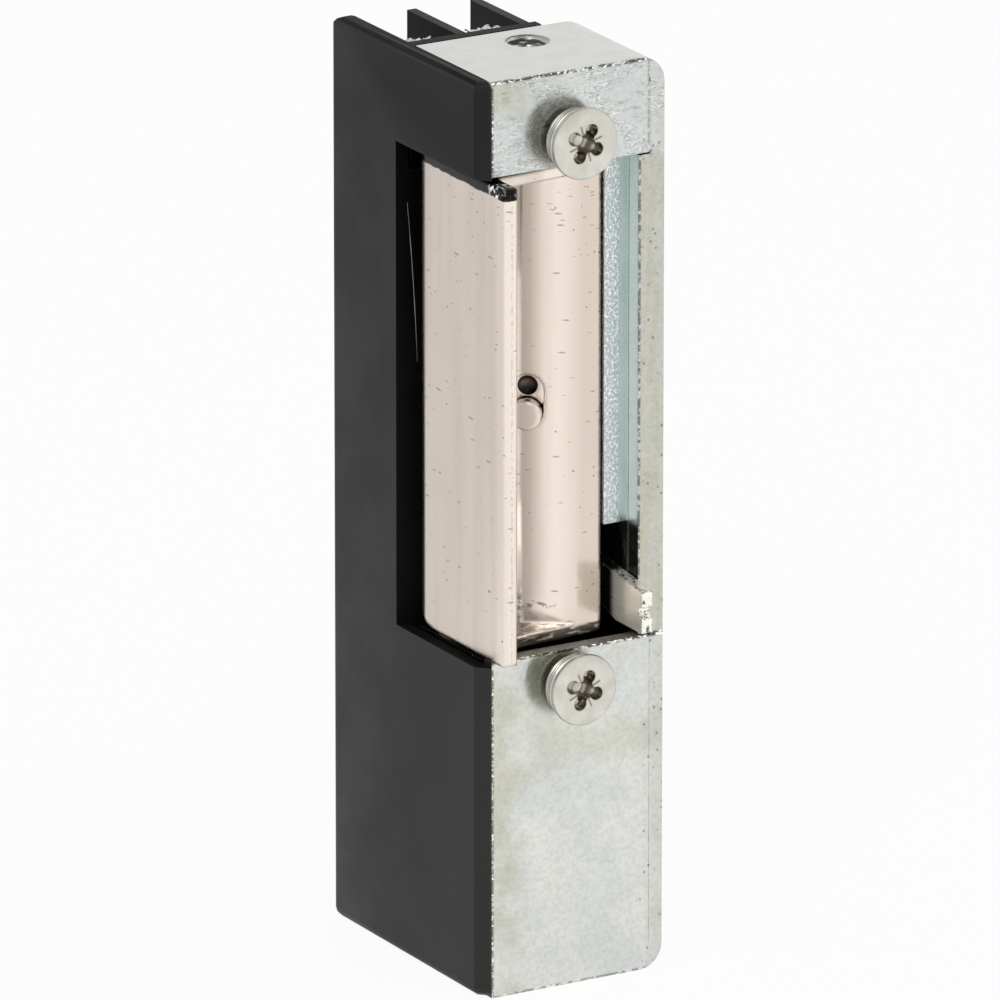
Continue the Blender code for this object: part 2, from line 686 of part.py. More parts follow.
def lobe_outline():
    """The lobe's ramp keeps a gap to the nose at every angle of the swing."""
    ramp = []
    for i in range(LOBE_STEPS + 1):
        share = i / LOBE_STEPS
        swing = math.radians(KEEPER_SWING * share)
        tilt = math.radians(LEVER_SWING * share)
        x = LEVER_MIDDLE - KEEPER_AXIS[0]
        y = LEVER_AXIS[0] - (NOSE_HEIGHT - LEVER_AXIS[1]) * math.sin(tilt) - KEEPER_AXIS[1]
        c, s = math.cos(swing), math.sin(swing)
        ramp.append(Vector((x * c - y * s, x * s + y * c)))
    outline = [(KEEPER_AXIS[0], KEEPER_AXIS[1] - LOBE_ROOT_FRONT)]
    for i, point in enumerate(ramp):
        ahead = ramp[min(i + 1, LOBE_STEPS)] - ramp[max(i - 1, 0)]
        side = Vector((-ahead.y, ahead.x)).normalized()
        gap = NOSE_RADIUS + LOBE_GAP + LOBE_RELIEF * i / LOBE_STEPS
        spot = point + side * gap
        outline.append((KEEPER_AXIS[0] + spot.x, KEEPER_AXIS[1] + spot.y))
    end = outline[-1]
    outline.append((end[0] - LOBE_BACK, end[1] + LOBE_BACK))
    outline.append((KEEPER_AXIS[0], KEEPER_AXIS[1] + LOBE_ROOT_REAR))
    return outline


def along_pin(shape):
    """Turns a shape made about the x axis so that +x points out of the pocket floor at the hold-open pin."""
    x, y = floor_line(PIN_ALONG_FLOOR)
    turned(shape, (0, 0, 0), "Z", math.degrees(-POCKET_ANGLE) - 90)
    bmesh.ops.translate(shape, verts=shape.verts, vec=(x, y, 0))
    return shape


def keeper():
    """The swinging jaw: pocket with end rims, lip, hub on the pin and the lobe that the nose holds."""
    body = prism(keeper_outline(), 2, KEEPER_BOTTOM, KEEPER_TOP)
    rims = [e for e in body.edges if abs(e.verts[0].co.z - e.verts[1].co.z) < TINY]
    bmesh.ops.bevel(body, geom=rims, offset=KEEPER_EDGE, segments=2, affect="EDGES", profile=0.5)
    lobe = prism(lobe_outline(), 2, NOSE_HEIGHT - LOBE_THICK / 2, NOSE_HEIGHT + LOBE_THICK / 2)
    bore = KEEPER_PIN_RADIUS + FIT_GAP
    hole = PIN_RADIUS + FIT_GAP
    slot = arc((0, PIN_HEIGHT), hole, 180, 360, 8) + arc((0, PIN_HEIGHT + PIN_SLOT_RISE), hole, 0, 180, 8)
    leg = KEEPER_WIRE / 2 + SEAT_GAP
    cuts = [
        prism(pocket_outline(), 2, KEEPER_BOTTOM + RIM_THICK, KEEPER_TOP - RIM_THICK),
        rod(2, KEEPER_AXIS, [(0, bore), (FAR, bore)], 20),
        along_pin(prism(slot, 0, -WEB_THICK * 2, WEB_THICK)),
        rod(2, leg_place(), [(KEEPER_TOP - LEG_DEPTH - SEAT_GAP, leg), (FAR, leg)], 8),
    ]
    return piece("keeper", body, NICKEL, pivot=(*KEEPER_AXIS, 0), added=[lobe], cuts=cuts)


def leg_place():
    """Where the spring's leg drops into the keeper's hub."""
    return (KEEPER_AXIS[0] + spring_radius(), KEEPER_AXIS[1])


def hold_open_pin():
    end = PIN_STAND_OUT
    profile = [(end - PIN_LENGTH, PIN_RADIUS), (end - PIN_EDGE, PIN_RADIUS), (end, PIN_RADIUS - PIN_EDGE)]
    shape = along_pin(rod(0, (0, PIN_HEIGHT), profile, 20))
    return piece("hold_open_pin", shape, NICKEL, pivot=(*floor_line(PIN_ALONG_FLOOR), PIN_HEIGHT))


def hold_open_spring():
    """Leaf behind the pin, its foot on the back of the web."""
    near = PIN_STAND_OUT - PIN_LENGTH - SEAT_GAP
    far = near - LEAF_THICK
    foot = -WEB_THICK - SEAT_GAP
    top = PIN_HEIGHT + PIN_RADIUS
    low = top - LEAF_LENGTH
    step = low + LEAF_FOOT
    profile = [(far, top), (far, low), (foot, low), (foot, step), (near, step), (near, top)]
    half = LEAF_WIDTH / 2
    return piece("hold_open_spring", along_pin(prism(profile, 1, -half, half)), DARK_STEEL)


def tongue_right():
    return PLATE_LEFT + TONGUE_THICK


def bearing_plate():
    """Thick stamped plate on the right wall; its thin tongue carries the lever pins."""
    body = box((PLATE_LEFT, PLATE_FRONT, PLATE_BOTTOM), (INSIDE_RIGHT, PLATE_REAR, PLATE_TOP))
    tongue = box((PLATE_LEFT, TONGUE_FRONT, TONGUE_BOTTOM), (tongue_right(), TONGUE_REAR, TONGUE_TOP))
    cuts = []
    for spot in rivet_spots():
        hole = RIVET_RADIUS + FIT_GAP
        cuts.append(rod(0, spot, [(INSIDE_RIGHT - RIVET_BITE - SEAT_GAP, hole), (FAR, hole)], 16))
    for spot, radius in ((LEVER_AXIS, LEVER_PIN_RADIUS), (RELEASE_AXIS, RELEASE_PIN_RADIUS)):
        hole = radius + FIT_GAP
        cuts.append(rod(0, spot, [(0, hole), (tongue_right() + SEAT_GAP, hole)], 16))
    return piece("bearing_plate", body, ZINC, added=[tongue], cuts=cuts)


def lever_left():
    return LEVER_MIDDLE - LEVER_THICK / 2


def lever_right():
    return LEVER_MIDDLE + LEVER_THICK / 2


def locking_lever():
    """Plate lever on an x pin: the nose holds the keeper's lobe, the tail stands on the armature's edge."""
    y, z = LEVER_AXIS
    head = NOSE_HEIGHT - NOSE_LENGTH / 2
    arm, tail = LEVER_WIDTH / 2, TAIL_WIDTH / 2
    outline = [(y - tail, z - LEVER_TAIL), (y + tail, z - LEVER_TAIL)]
    outline += arc((y, z), LEVER_BOSS, -65, 50, 6)
    outline += [(y + arm, head), (y - arm, head)]
    outline += arc((y, z), LEVER_BOSS, 130, 245, 6)
    nose = [(head - LEVER_THICK, NOSE_RADIUS), (NOSE_HEIGHT + NOSE_LENGTH / 2, NOSE_RADIUS)]
    hole = LEVER_PIN_RADIUS + FIT_GAP
    return piece(
        "locking_lever",
        prism(outline, 0, lever_left(), lever_right()),
        DARK_STEEL,
        pivot=(LEVER_MIDDLE, y, z),
        added=[rod(2, (LEVER_MIDDLE, y), nose, 16)],
        cuts=[rod(0, LEVER_AXIS, [(0, hole), (FAR, hole)], 16)],
    )


def lever_spring_left():
    return lever_left() - SEAT_GAP - LEVER_WIRE - LEVER_TURNS * (LEVER_WIRE + COIL_GAP)


def locking_lever_pin():
    head = LEVER_PIN_RADIUS + LEVER_WIRE
    start = lever_spring_left() - SEAT_GAP - LEVER_WIRE
    profile = [
        (start - LEVER_PIN_RADIUS, head),
        (start, head),
        (start, LEVER_PIN_RADIUS),
        (tongue_right(), LEVER_PIN_RADIUS),
    ]
    return piece("locking_lever_pin", rod(0, LEVER_AXIS, profile, 16), DARK_STEEL)


def helix(axis, centre, radius, start, turns, pitch, steps=10):
    """Points of a coil about an axis; the coil starts on the first of the two other axes."""
    others = [i for i in range(3) if i != axis]
    points = []
    for i in range(turns * steps + 1):
        turn = 2 * math.pi * i / steps
        place = [0.0, 0.0, 0.0]
        place[axis] = start + pitch * i / steps
        place[others[0]] = centre[0] + radius * math.cos(turn)
        place[others[1]] = centre[1] + radius * math.sin(turn)
        points.append(tuple(place))
    return points


def report_gap(name, points, wire):
    """Prints the least gap between turns, measured between points over half a turn apart."""
    least = FAR
    for i, a in enumerate(points):
        for b in points[i + 6:]:
            least = min(least, (Vector(a) - Vector(b)).length - wire)
    print(f"{name}: least gap to itself {least * 1000:.2f} mm")


def keeper_spring():
    """Torsion spring on the keeper pin, inside the upper block; its leg drops into the keeper."""
    start = OPENING_TOP + SEAT_GAP + KEEPER_WIRE / 2
    coil = helix(2, KEEPER_AXIS, spring_radius(), start, KEEPER_TURNS, KEEPER_WIRE + COIL_GAP)
    leg = [(*leg_place(), KEEPER_TOP - LEG_DEPTH), (*leg_place(), start - KEEPER_WIRE / 2)]
    points = leg + coil
    report_gap("keeper_spring", points, KEEPER_WIRE)
    return tube("keeper_spring", points, KEEPER_WIRE / 2, DARK_STEEL)


def locking_lever_spring():
    """Torsion spring on the lever pin, between its head and the lever."""
    radius = LEVER_PIN_RADIUS + SEAT_GAP + LEVER_WIRE / 2
    start = lever_spring_left() + LEVER_WIRE / 2
    coil = helix(0, LEVER_AXIS, radius, start, LEVER_TURNS, LEVER_WIRE + COIL_GAP)
    run = radius * 2
    first, last = coil[0], coil[-1]
    points = [(first[0], first[1], first[2] - run), *coil, (last[0], last[1], last[2] + run)]
    report_gap("locking_lever_spring", points, LEVER_WIRE)
    return tube("locking_lever_spring", points, LEVER_WIRE / 2, DARK_STEEL)


def armature_top():
    return LEVER_AXIS[1] - LEVER_TAIL + TAIL_BITE


def armature_bottom():
    return armature_top() - ARMATURE_THICK


def leg_front():
    """The yoke's rear leg, just behind the coil."""
    return COIL_MIDDLE[1] + BOBBIN_RADIUS + SEAT_GAP


def hinge_line():
    return (leg_front() + YOKE_THICK / 2, armature_bottom() - SEAT_GAP)


def armature():
    front = LEVER_AXIS[0] + TAIL_WIDTH / 2 + TAIL_GAP
    rear = leg_front() + YOKE_THICK + HEEL_LENGTH
    half = ARMATURE_WIDTH / 2
    body = box(
        (ARMATURE_MIDDLE - half, front, armature_bottom()),
        (ARMATURE_MIDDLE + half, rear, armature_top()),
    )
    return piece("armature", body, DARK_STEEL, pivot=(ARMATURE_MIDDLE, *hinge_line()))


def yoke():
    """L-shaped iron: foot under the coil, leg behind it with the armature's hinge edge on top."""
    low = HOUSING_FLOOR + SEAT_GAP
    half = YOKE_WIDTH / 2
    x, y = COIL_MIDDLE
    outline = [
        (y - half, low),
        (leg_front() + YOKE_THICK, low),
        (leg_front() + YOKE_THICK, hinge_line()[1]),
        (leg_front(), hinge_line()[1]),
        (leg_front(), low + YOKE_THICK),
        (y - half, low + YOKE_THICK),
    ]
    hole = TENON_RADIUS + FIT_GAP
    cut = rod(2, COIL_MIDDLE, [(-low, hole), (low + YOKE_THICK * 2, hole)], 16)
    return piece("yoke", prism(outline, 0, x - half, x + half), DARK_STEEL, cuts=[cut])


def coil_core():
    """Iron core with its tenon in the yoke's foot."""
    foot = HOUSING_FLOOR + SEAT_GAP
    shoulder = foot + YOKE_THICK + SEAT_GAP
    profile = [
        (foot, TENON_RADIUS),
        (shoulder, TENON_RADIUS),
        (shoulder, CORE_RADIUS),
        (armature_bottom() - ARMATURE_GAP, CORE_RADIUS),
    ]
    return piece("coil_core", rod(2, COIL_MIDDLE, profile, 20), DARK_STEEL)


def coil_bobbin():
    drum = CORE_RADIUS + FIT_GAP + BOBBIN_WALL
    profile = [
        (BOBBIN_BOTTOM, BOBBIN_RADIUS),
        (BOBBIN_BOTTOM + BOBBIN_WALL, BOBBIN_RADIUS),
        (BOBBIN_BOTTOM + BOBBIN_WALL, drum),
        (BOBBIN_TOP - BOBBIN_WALL, drum),
        (BOBBIN_TOP - BOBBIN_WALL, BOBBIN_RADIUS),
        (BOBBIN_TOP, BOBBIN_RADIUS),
    ]
    hole = CORE_RADIUS + FIT_GAP
    cut = rod(2, COIL_MIDDLE, [(0, hole), (FAR, hole)], 24)
    return piece("coil_bobbin", rod(2, COIL_MIDDLE, profile, 24), NYLON, cuts=[cut])


def coil_winding():
    inner = CORE_RADIUS + FIT_GAP + BOBBIN_WALL + SEAT_GAP
    low = BOBBIN_BOTTOM + BOBBIN_WALL + SEAT_GAP
    high = BOBBIN_TOP - BOBBIN_WALL - SEAT_GAP
    cut = rod(2, COIL_MIDDLE, [(0, inner), (FAR, inner)], 24)
    body = rod(2, COIL_MIDDLE, [(low, WINDING_RADIUS), (high, WINDING_RADIUS)], 24)
    return piece("coil_winding", body, COPPER, cuts=[cut])


def armature_spring():
    """Leaf on the back of the yoke that holds the armature's heel down."""
    near = leg_front() + YOKE_THICK + HEEL_LENGTH + SEAT_GAP
    far = near + SPRING_STRIP
    low = (BOBBIN_BOTTOM + BOBBIN_TOP) / 2
    under = armature_top() + SEAT_GAP
    front = far - STRIP_RUN
    foot = leg_front() + YOKE_THICK + SEAT_GAP
    outline = [
        (foot, low),
        (far, low),
        (far, under + SPRING_STRIP),
        (front, under + SPRING_STRIP),
        (front, under),
        (near, under),
        (near, low + STRIP_RUN),
        (foot, low + STRIP_RUN),
    ]
    half = STRIP_WIDTH / 2
    strip = prism(outline, 0, ARMATURE_MIDDLE - half, ARMATURE_MIDDLE + half)
    return piece("armature_spring", strip, DARK_STEEL)


def release_left():
    return tongue_right() + RELEASE_GAP


def release_lever():
    """Plate lever beside the tongue: notched tip ahead of the front plane, heel above the armature."""
    y, z = RELEASE_AXIS
    tip = -RELEASE_REACH
    half = HEEL_SIZE / 2
    mid = (RELEASE_TIP_BOTTOM + RELEASE_TIP_TOP) / 2
    outline = [
        (tip, RELEASE_TIP_BOTTOM),
        (PLATE_FRONT, RELEASE_TIP_BOTTOM),
        (TONGUE_FRONT, z - RELEASE_BOSS),
        (y, z - RELEASE_BOSS),
        (HEEL_PLACE[0] - half, HEEL_PLACE[1] + half),
        (HEEL_PLACE[0] - half, HEEL_PLACE[1] - half),
        (HEEL_PLACE[0] + half, HEEL_PLACE[1] - half),
        (HEEL_PLACE[0] + half, HEEL_PLACE[1] + half),
    ]
    outline += arc((y, z), RELEASE_BOSS, -20, 90, 6)
    outline += [
        (PLATE_FRONT, RELEASE_TIP_TOP + NOTCH_DEPTH),
        (tip, RELEASE_TIP_TOP),
        (tip, mid + NOTCH_HEIGHT / 2),
        (tip + NOTCH_DEPTH, mid + NOTCH_HEIGHT / 4),
        (tip + NOTCH_DEPTH, mid - NOTCH_HEIGHT / 4),
        (tip, mid - NOTCH_HEIGHT / 2),
    ]
    left, right = release_left(), release_left() + RELEASE_THICK
    low = (HEEL_LEFT, HEEL_PLACE[0] - half, HEEL_PLACE[1] - half)
    heel = box(low, (left + RELEASE_THICK / 2, HEEL_PLACE[0] + half, HEEL_PLACE[1] + half))
    hole = RELEASE_PIN_RADIUS + FIT_GAP
    cut = rod(0, RELEASE_AXIS, [(0, hole), (FAR, hole)], 16)
    plate = prism(outline, 0, left, right)
    return piece("release_lever", plate, DARK_STEEL, pivot=(left, y, z), added=[heel], cuts=[cut])


def release_lever_pin():
    start = PLATE_LEFT
    shoulder = release_left() + RELEASE_THICK + SEAT_GAP
    profile = [
        (start, RELEASE_PIN_RADIUS),
        (shoulder, RELEASE_PIN_RADIUS),
        (shoulder, RELEASE_PIN_HEAD),
        (INSIDE_RIGHT, RELEASE_PIN_HEAD),
    ]
    return piece("release_lever_pin", rod(0, RELEASE_AXIS, profile, 16), DARK_STEEL)


def terminal_places():
    first = (HOUSING_WALL + fin_left(0)) / 2
    second = (fin_left(0) + FIN_THICK + fin_left(1)) / 2
    return {"left": first, "right": second}


def terminal_clamp(side, x):
    low = TERMINAL_FLOOR + SEAT_GAP
    half = CLAMP_SIZE / 2
    body = box((x - half, TERMINAL_ROW - half, low), (x + half, TERMINAL_ROW + half, low + CLAMP_HEIGHT))
    thread = TERMINAL_SCREW_RADIUS + FIT_GAP
    cuts = [
        rod(2, (x, TERMINAL_ROW), [(low + CLAMP_WIRE_RISE, thread), (FAR, thread)], 16),
        rod(1, (x, low + CLAMP_WIRE_RISE), [(TERMINAL_ROW, CLAMP_WIRE_RADIUS), (FAR, CLAMP_WIRE_RADIUS)], 16),
    ]
    return piece(f"terminal_clamp_{side}", body, BRASS, cuts=cuts)


def terminal_screw(side, x):
    top = BODY_HEIGHT - TERMINAL_TOP_DROP
    neck = top - TERMINAL_HEAD_HEIGHT
    end = TERMINAL_FLOOR + SEAT_GAP + TERMINAL_SCREW_RISE
    profile = [
        (end, TERMINAL_SCREW_RADIUS),
        (neck, TERMINAL_SCREW_RADIUS),
        (neck, TERMINAL_HEAD_RADIUS),
        (top, TERMINAL_HEAD_RADIUS),
    ]
    half = SLOT_WIDTH / 2
    slot = box((x - FAR, TERMINAL_ROW - half, top - SLOT_DEPTH), (x + FAR, TERMINAL_ROW + half, FAR))
    return piece(f"terminal_screw_{side}", rod(2, (x, TERMINAL_ROW), profile, 16), ZINC, cuts=[slot])


def smooth(route, steps):
    """Points of a smooth curve through the route."""
    points = []
    for i in range(len(route) - 1):
        before, a = Vector(route[max(i - 1, 0)]), Vector(route[i])
        b, after = Vector(route[i + 1]), Vector(route[min(i + 2, len(route) - 1)])
        for k in range(steps):
            t = k / steps
            pull = (b - before) * 0.5 * (t - 2 * t**2 + t**3) + (after - a) * 0.5 * (t**3 - t**2)
            points.append(a * (1 - 3 * t**2 + 2 * t**3) + b * (3 * t**2 - 2 * t**3) + pull)
    return [*points, Vector(route[-1])]


def lead_wire(side, x, route, foot_x):
    """Lead from its clamp down to the coil; the route gives shares of its run and of its height."""
    top = TERMINAL_FLOOR
    foot = BOBBIN_TOP + SEAT_GAP
    places = [(x, TERMINAL_ROW, top)]
    for across, back, up in route:
        places.append((x + (foot_x - x) * across, TERMINAL_ROW + back, foot + (top - foot) * up))
    places.append((foot_x, places[-1][1], foot))
    return tube(f"lead_wire_{side}", smooth(places, LEAD_STEPS), LEAD_RADIUS, WIRE_COAT, resolution=2)


def fasteners():
    end = BODY_WIDTH - HOUSING_SCREW_LENGTH
    for name, spot in (("housing_screw_lower", LOWER_BOSS), ("housing_screw_upper", UPPER_BOSS)):
        flush_fastener(name, spot, HOUSING_SCREW_RADIUS, HOUSING_SCREW_HEAD, end, ZINC)
    end = INSIDE_RIGHT - RIVET_BITE
    for name, spot in zip(("plate_rivet_lower", "plate_rivet_upper"), rivet_spots()):
        flush_fastener(name, spot, RIVET_RADIUS, RIVET_HEAD, end, DARK_STEEL)
    mounting_screw("mounting_screw_upper", UPPER_SCREW)
    mounting_screw("mounting_screw_lower", LOWER_SCREW)


def terminals():
    places = terminal_places()
    for side, x in places.items():
        terminal_clamp(side, x)
        terminal_screw(side, x)
    lead_wire("left", places["left"], LEFT_LEAD, places["left"])
    beside_armature = ARMATURE_MIDDLE + ARMATURE_WIDTH / 2 + LEAD_ARMATURE_GAP + LEAD_RADIUS
    lead_wire("right", places["right"], RIGHT_LEAD, beside_armature)


steel_frame()
housing()
fasteners()
terminals()
upper_bearing_block()
lower_bearing_block()
keeper()
keeper_pin()
keeper_spring()
hold_open_pin()
hold_open_spring()
bearing_plate()
locking_lever()
locking_lever_pin()
locking_lever_spring()
coil_core()
coil_bobbin()
coil_winding()
yoke()
armature()
armature_spring()
release_lever()
release_lever_pin()
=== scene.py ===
import json
import math
from types import SimpleNamespace

import bmesh
import bpy
from mathutils import Matrix, Vector


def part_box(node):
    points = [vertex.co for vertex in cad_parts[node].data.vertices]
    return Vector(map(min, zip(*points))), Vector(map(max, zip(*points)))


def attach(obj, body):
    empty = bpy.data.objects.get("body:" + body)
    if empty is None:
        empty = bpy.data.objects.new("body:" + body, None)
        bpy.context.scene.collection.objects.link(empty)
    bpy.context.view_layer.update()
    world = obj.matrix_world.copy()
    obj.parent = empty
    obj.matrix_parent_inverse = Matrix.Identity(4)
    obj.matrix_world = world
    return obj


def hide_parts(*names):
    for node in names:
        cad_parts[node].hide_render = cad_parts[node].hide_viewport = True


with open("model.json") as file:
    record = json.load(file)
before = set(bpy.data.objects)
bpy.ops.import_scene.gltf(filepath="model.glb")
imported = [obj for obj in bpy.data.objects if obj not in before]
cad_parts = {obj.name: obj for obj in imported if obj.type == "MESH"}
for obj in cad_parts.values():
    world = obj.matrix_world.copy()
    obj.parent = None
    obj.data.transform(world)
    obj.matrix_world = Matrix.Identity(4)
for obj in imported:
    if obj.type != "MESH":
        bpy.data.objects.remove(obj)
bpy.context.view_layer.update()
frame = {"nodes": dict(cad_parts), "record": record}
nodes = frame["nodes"]
bodyOf = {name: body for body, names in frame["record"]["behaviour"]["bodies"].items() for name in names}
slotOf = {part["node"]: part["material_slot"] for part in frame["record"]["subparts"]}
mm = 0.001
link = bpy.context.scene.collection.objects.link
print("frame loaded:", len(nodes), "nodes")


def metres(*lengths):
    return tuple(length * mm for length in lengths)


def named(settings):
    return SimpleNamespace(**settings)


# shader building blocks


def feed(socket, value):
    if isinstance(value, bpy.types.NodeSocket):
        socket.id_data.links.new(value, socket)
    elif value is not None:
        socket.default_value = (*value, 1) if socket.type == "RGBA" and len(value) == 3 else value


def add(tree, kind, inputs=None, **settings):
    node = tree.nodes.new(kind)
    for key, value in settings.items():
        setattr(node, key, value)
    for key, value in (inputs or {}).items():
        feed(node.inputs[key], value)
    return node


def emptyTree(owner):
    owner.use_nodes = True
    owner.node_tree.nodes.clear()
    return owner.node_tree


def calc(operation, a, b=None):
    known = a if isinstance(a, bpy.types.NodeSocket) else b
    return add(known.id_data, "ShaderNodeMath", {0: a, 1: b}, operation=operation).outputs[0]


def chain(operation, result, *others):
    for value in others:
        result = calc(operation, result, value)
    return result


def times(*values):
    return chain("MULTIPLY", *values)


def most(*values):
    return chain("MAXIMUM", *values)


def without(mask):
    return calc("SUBTRACT", 1.0, mask)


def spread(value, low, high, toLow=0.0, toHigh=1.0):
    ends = {"Value": value, "From Min": low, "From Max": high, "To Min": toLow, "To Max": toHigh}
    return add(value.id_data, "ShaderNodeMapRange", ends, interpolation_type="SMOOTHSTEP").outputs["Result"]


def ramp(value, start, end, *ends):  # start and end in millimetres
    return spread(value, start * mm, end * mm, *ends)


def within(value, rising, falling):  # a zone between two ramps
    return times(ramp(value, *rising), ramp(value, *falling))


def scaled(mask, low, high):
    return spread(mask, 0.0, 1.0, low, high)


def nearLine(value, at, reach, share=1.0, core=0.35):  # core: the part of the reach that is fully covered
    gap = calc("ABSOLUTE", calc("SUBTRACT", value, at))
    return spread(gap, reach * core, reach, share, 0.0)


def mixColour(factor, a, b):
    return add(factor.id_data, "ShaderNodeMix", {0: factor, 6: a, 7: b}, data_type="RGBA").outputs[2]


def layered(colour, *layers):
    for mask, tone in layers:
        colour = mixColour(mask, colour, tone)
    return colour


def split(vector):
    return add(vector.id_data, "ShaderNodeSeparateXYZ", {"Vector": vector}).outputs


def placeOf(tree):
    return split(add(tree, "ShaderNodeTexCoord").outputs["Object"])


def facing(tree):
    return split(add(tree, "ShaderNodeNewGeometry").outputs["Normal"])


def stretched(tree, stretch):
    place = add(tree, "ShaderNodeTexCoord").outputs["Object"]
    return add(tree, "ShaderNodeVectorMath", {0: place, 1: stretch}, operation="MULTIPLY").outputs[0]


def newGroup(name, takes, gives):
    tree = bpy.data.node_groups.new(name, "ShaderNodeTree")
    for label, value in takes.items():
        kind = "NodeSocketVector" if isinstance(value, tuple) else "NodeSocketFloat"
        tree.interface.new_socket(label, in_out="INPUT", socket_type=kind).default_value = value
    for label, kind in gives.items():
        tree.interface.new_socket(label, in_out="OUTPUT", socket_type=kind)
    return tree, tree.nodes.new("NodeGroupInput").outputs, tree.nodes.new("NodeGroupOutput").inputs


speckShape = dict(smallest=0.35, core=0.45)  # size of the smallest mark, solid share of each


def makeSpecks():
    # small separate marks: pores, dashes, dust, short scratches
    defaults = dict(Scale=1000.0, Stretch=(1, 1, 1), Amount=0.2, Size=0.2)
    tree, takes, gives = newGroup("specks", defaults, {"Mask": "NodeSocketFloat"})
    layout = {"Vector": stretched(tree, takes["Stretch"]), "Scale": takes["Scale"], "Randomness": 1.0}
    cells = add(tree, "ShaderNodeTexVoronoi", layout).outputs
    chance = add(tree, "ShaderNodeSeparateColor", {"Color": cells["Color"]}).outputs
    there = calc("LESS_THAN", chance["Red"], takes["Amount"])
    reach = times(takes["Size"], calc("ADD", speckShape["smallest"], chance["Green"]))
    dot = spread(cells["Distance"], times(reach, speckShape["core"]), reach, 1.0, 0.0)
    feed(gives["Mask"], times(dot, there))
    return tree


def makeCloud():
    # soft uneven patches, drawn out into streaks by Stretch
    defaults = dict(Scale=200.0, Stretch=(1, 1, 1), Low=0.3, High=0.7, Detail=4.0)
    tree, takes, gives = newGroup("cloud", defaults, {"Value": "NodeSocketFloat"})
    layout = {"Vector": stretched(tree, takes["Stretch"]), "Scale": takes["Scale"], "Detail": takes["Detail"]}
    noise = add(tree, "ShaderNodeTexNoise", layout).outputs["Fac"]
    feed(gives["Value"], spread(noise, takes["Low"], takes["High"]))
    return tree


edgeShape = dict(samples=6, detail=3.0, soften=0.25)


def makeEdge():
    # broken line along outer edges, and a rounded normal there
    defaults = dict(Radius=0.3 * mm, Reach=0.12, BreakScale=2000.0, BreakLow=0.3)
    tree, takes, gives = newGroup("edge", defaults, {"Mask": "NodeSocketFloat", "Normal": "NodeSocketVector"})
    bevel = add(tree, "ShaderNodeBevel", {"Radius": takes["Radius"]}, samples=edgeShape["samples"])
    rounded = bevel.outputs[0]
    flat = add(tree, "ShaderNodeNewGeometry").outputs["Normal"]
    near = add(tree, "ShaderNodeVectorMath", {0: rounded, 1: flat}, operation="DOT_PRODUCT").outputs["Value"]
    place = add(tree, "ShaderNodeTexCoord").outputs["Object"]
    layout = {"Vector": place, "Scale": takes["BreakScale"], "Detail": edgeShape["detail"]}
    noise = add(tree, "ShaderNodeTexNoise", layout).outputs["Fac"]
    low = takes["BreakLow"]
    broken = spread(noise, low, calc("ADD", low, edgeShape["soften"]))
    feed(gives["Mask"], times(spread(without(near), 0.0, takes["Reach"]), broken))
    feed(gives["Normal"], rounded)
    return tree


specksGroup, cloudGroup, edgeGroup = makeSpecks(), makeCloud(), makeEdge()


def use(tree, group, **values):
    return add(tree, "ShaderNodeGroup", values, node_tree=group).outputs


# patterns for the looks below, each drawn when it is given a tree


def pattern(group, outlet, share=None, **values):
    def draw(tree, **more):
        mask = use(tree, group, **{**values, **more})[outlet]
        return times(mask, share) if share else mask

    return draw


def specks(scale, amount, size, stretch=(1, 1, 1), share=None):
    return pattern(specksGroup, "Mask", share, Scale=scale, Amount=amount, Size=size, Stretch=stretch)


def cloud(scale, low=0.3, high=0.7, stretch=(1, 1, 1), detail=4.0, share=None):
    values = dict(Scale=scale, Low=low, High=high, Stretch=stretch, Detail=detail)
    return pattern(cloudGroup, "Value", share, **values)


def edgeLine(radius, reach, breakScale, breakLow):
    values = dict(Radius=radius, Reach=reach, BreakScale=breakScale, BreakLow=breakLow)
    return pattern(edgeGroup, "Mask", **values)


def newFinish(name, metallic, specular=0.5):
    material = bpy.data.materials.new(name)
    tree = emptyTree(material)
    shader = add(tree, "ShaderNodeBsdfPrincipled", {"Metallic": metallic, "Specular IOR Level": specular})
    add(tree, "ShaderNodeOutputMaterial", {"Surface": shader.outputs[0]})
    return material, tree, shader.inputs


def paint(shader, colour, roughness, metallic=None):
    for label, value in (("Base Color", colour), ("Roughness", roughness), ("Metallic", metallic)):
        feed(shader[label], value)


def relief(shader, height, depth, strength, normal=None):
    bump = {"Strength": strength, "Distance": depth, "Height": height, "Normal": normal}
    feed(shader["Normal"], add(height.id_data, "ShaderNodeBump", bump).outputs[0])


print("shared effects ready")

# studio: pale floor, soft light, long lens at the photograph's angle
studio = dict(
    cameraPlace=metres(-743.4, -1286.0, 526.45),
    heading=30.016,
    lookDown=17.926,
    roll=-0.015,
    lens=576.26,
    sensor=36,
    clip=(0.05, 20),
    fill=0.62,
    floorSize=4,
    floorDrop=0.02 * mm,
    floorColour=(0.93, 0.93, 0.925),
    floorShare=0.93,
    floorGlow=(0.97, 1.3),  # as mirrored in the object: behind it, in front of it
    glowSpan=(0.12, -0.08),  # where the one turns into the other along Y
    lampAim=(0, 0, 0.045),
    softbox=dict(place=(-0.9, -1.1, 1.5), size=1.3, power=9.0),
    sideBox=dict(place=(1.3, -0.9, 0.9), size=1.0, power=3.5),
)


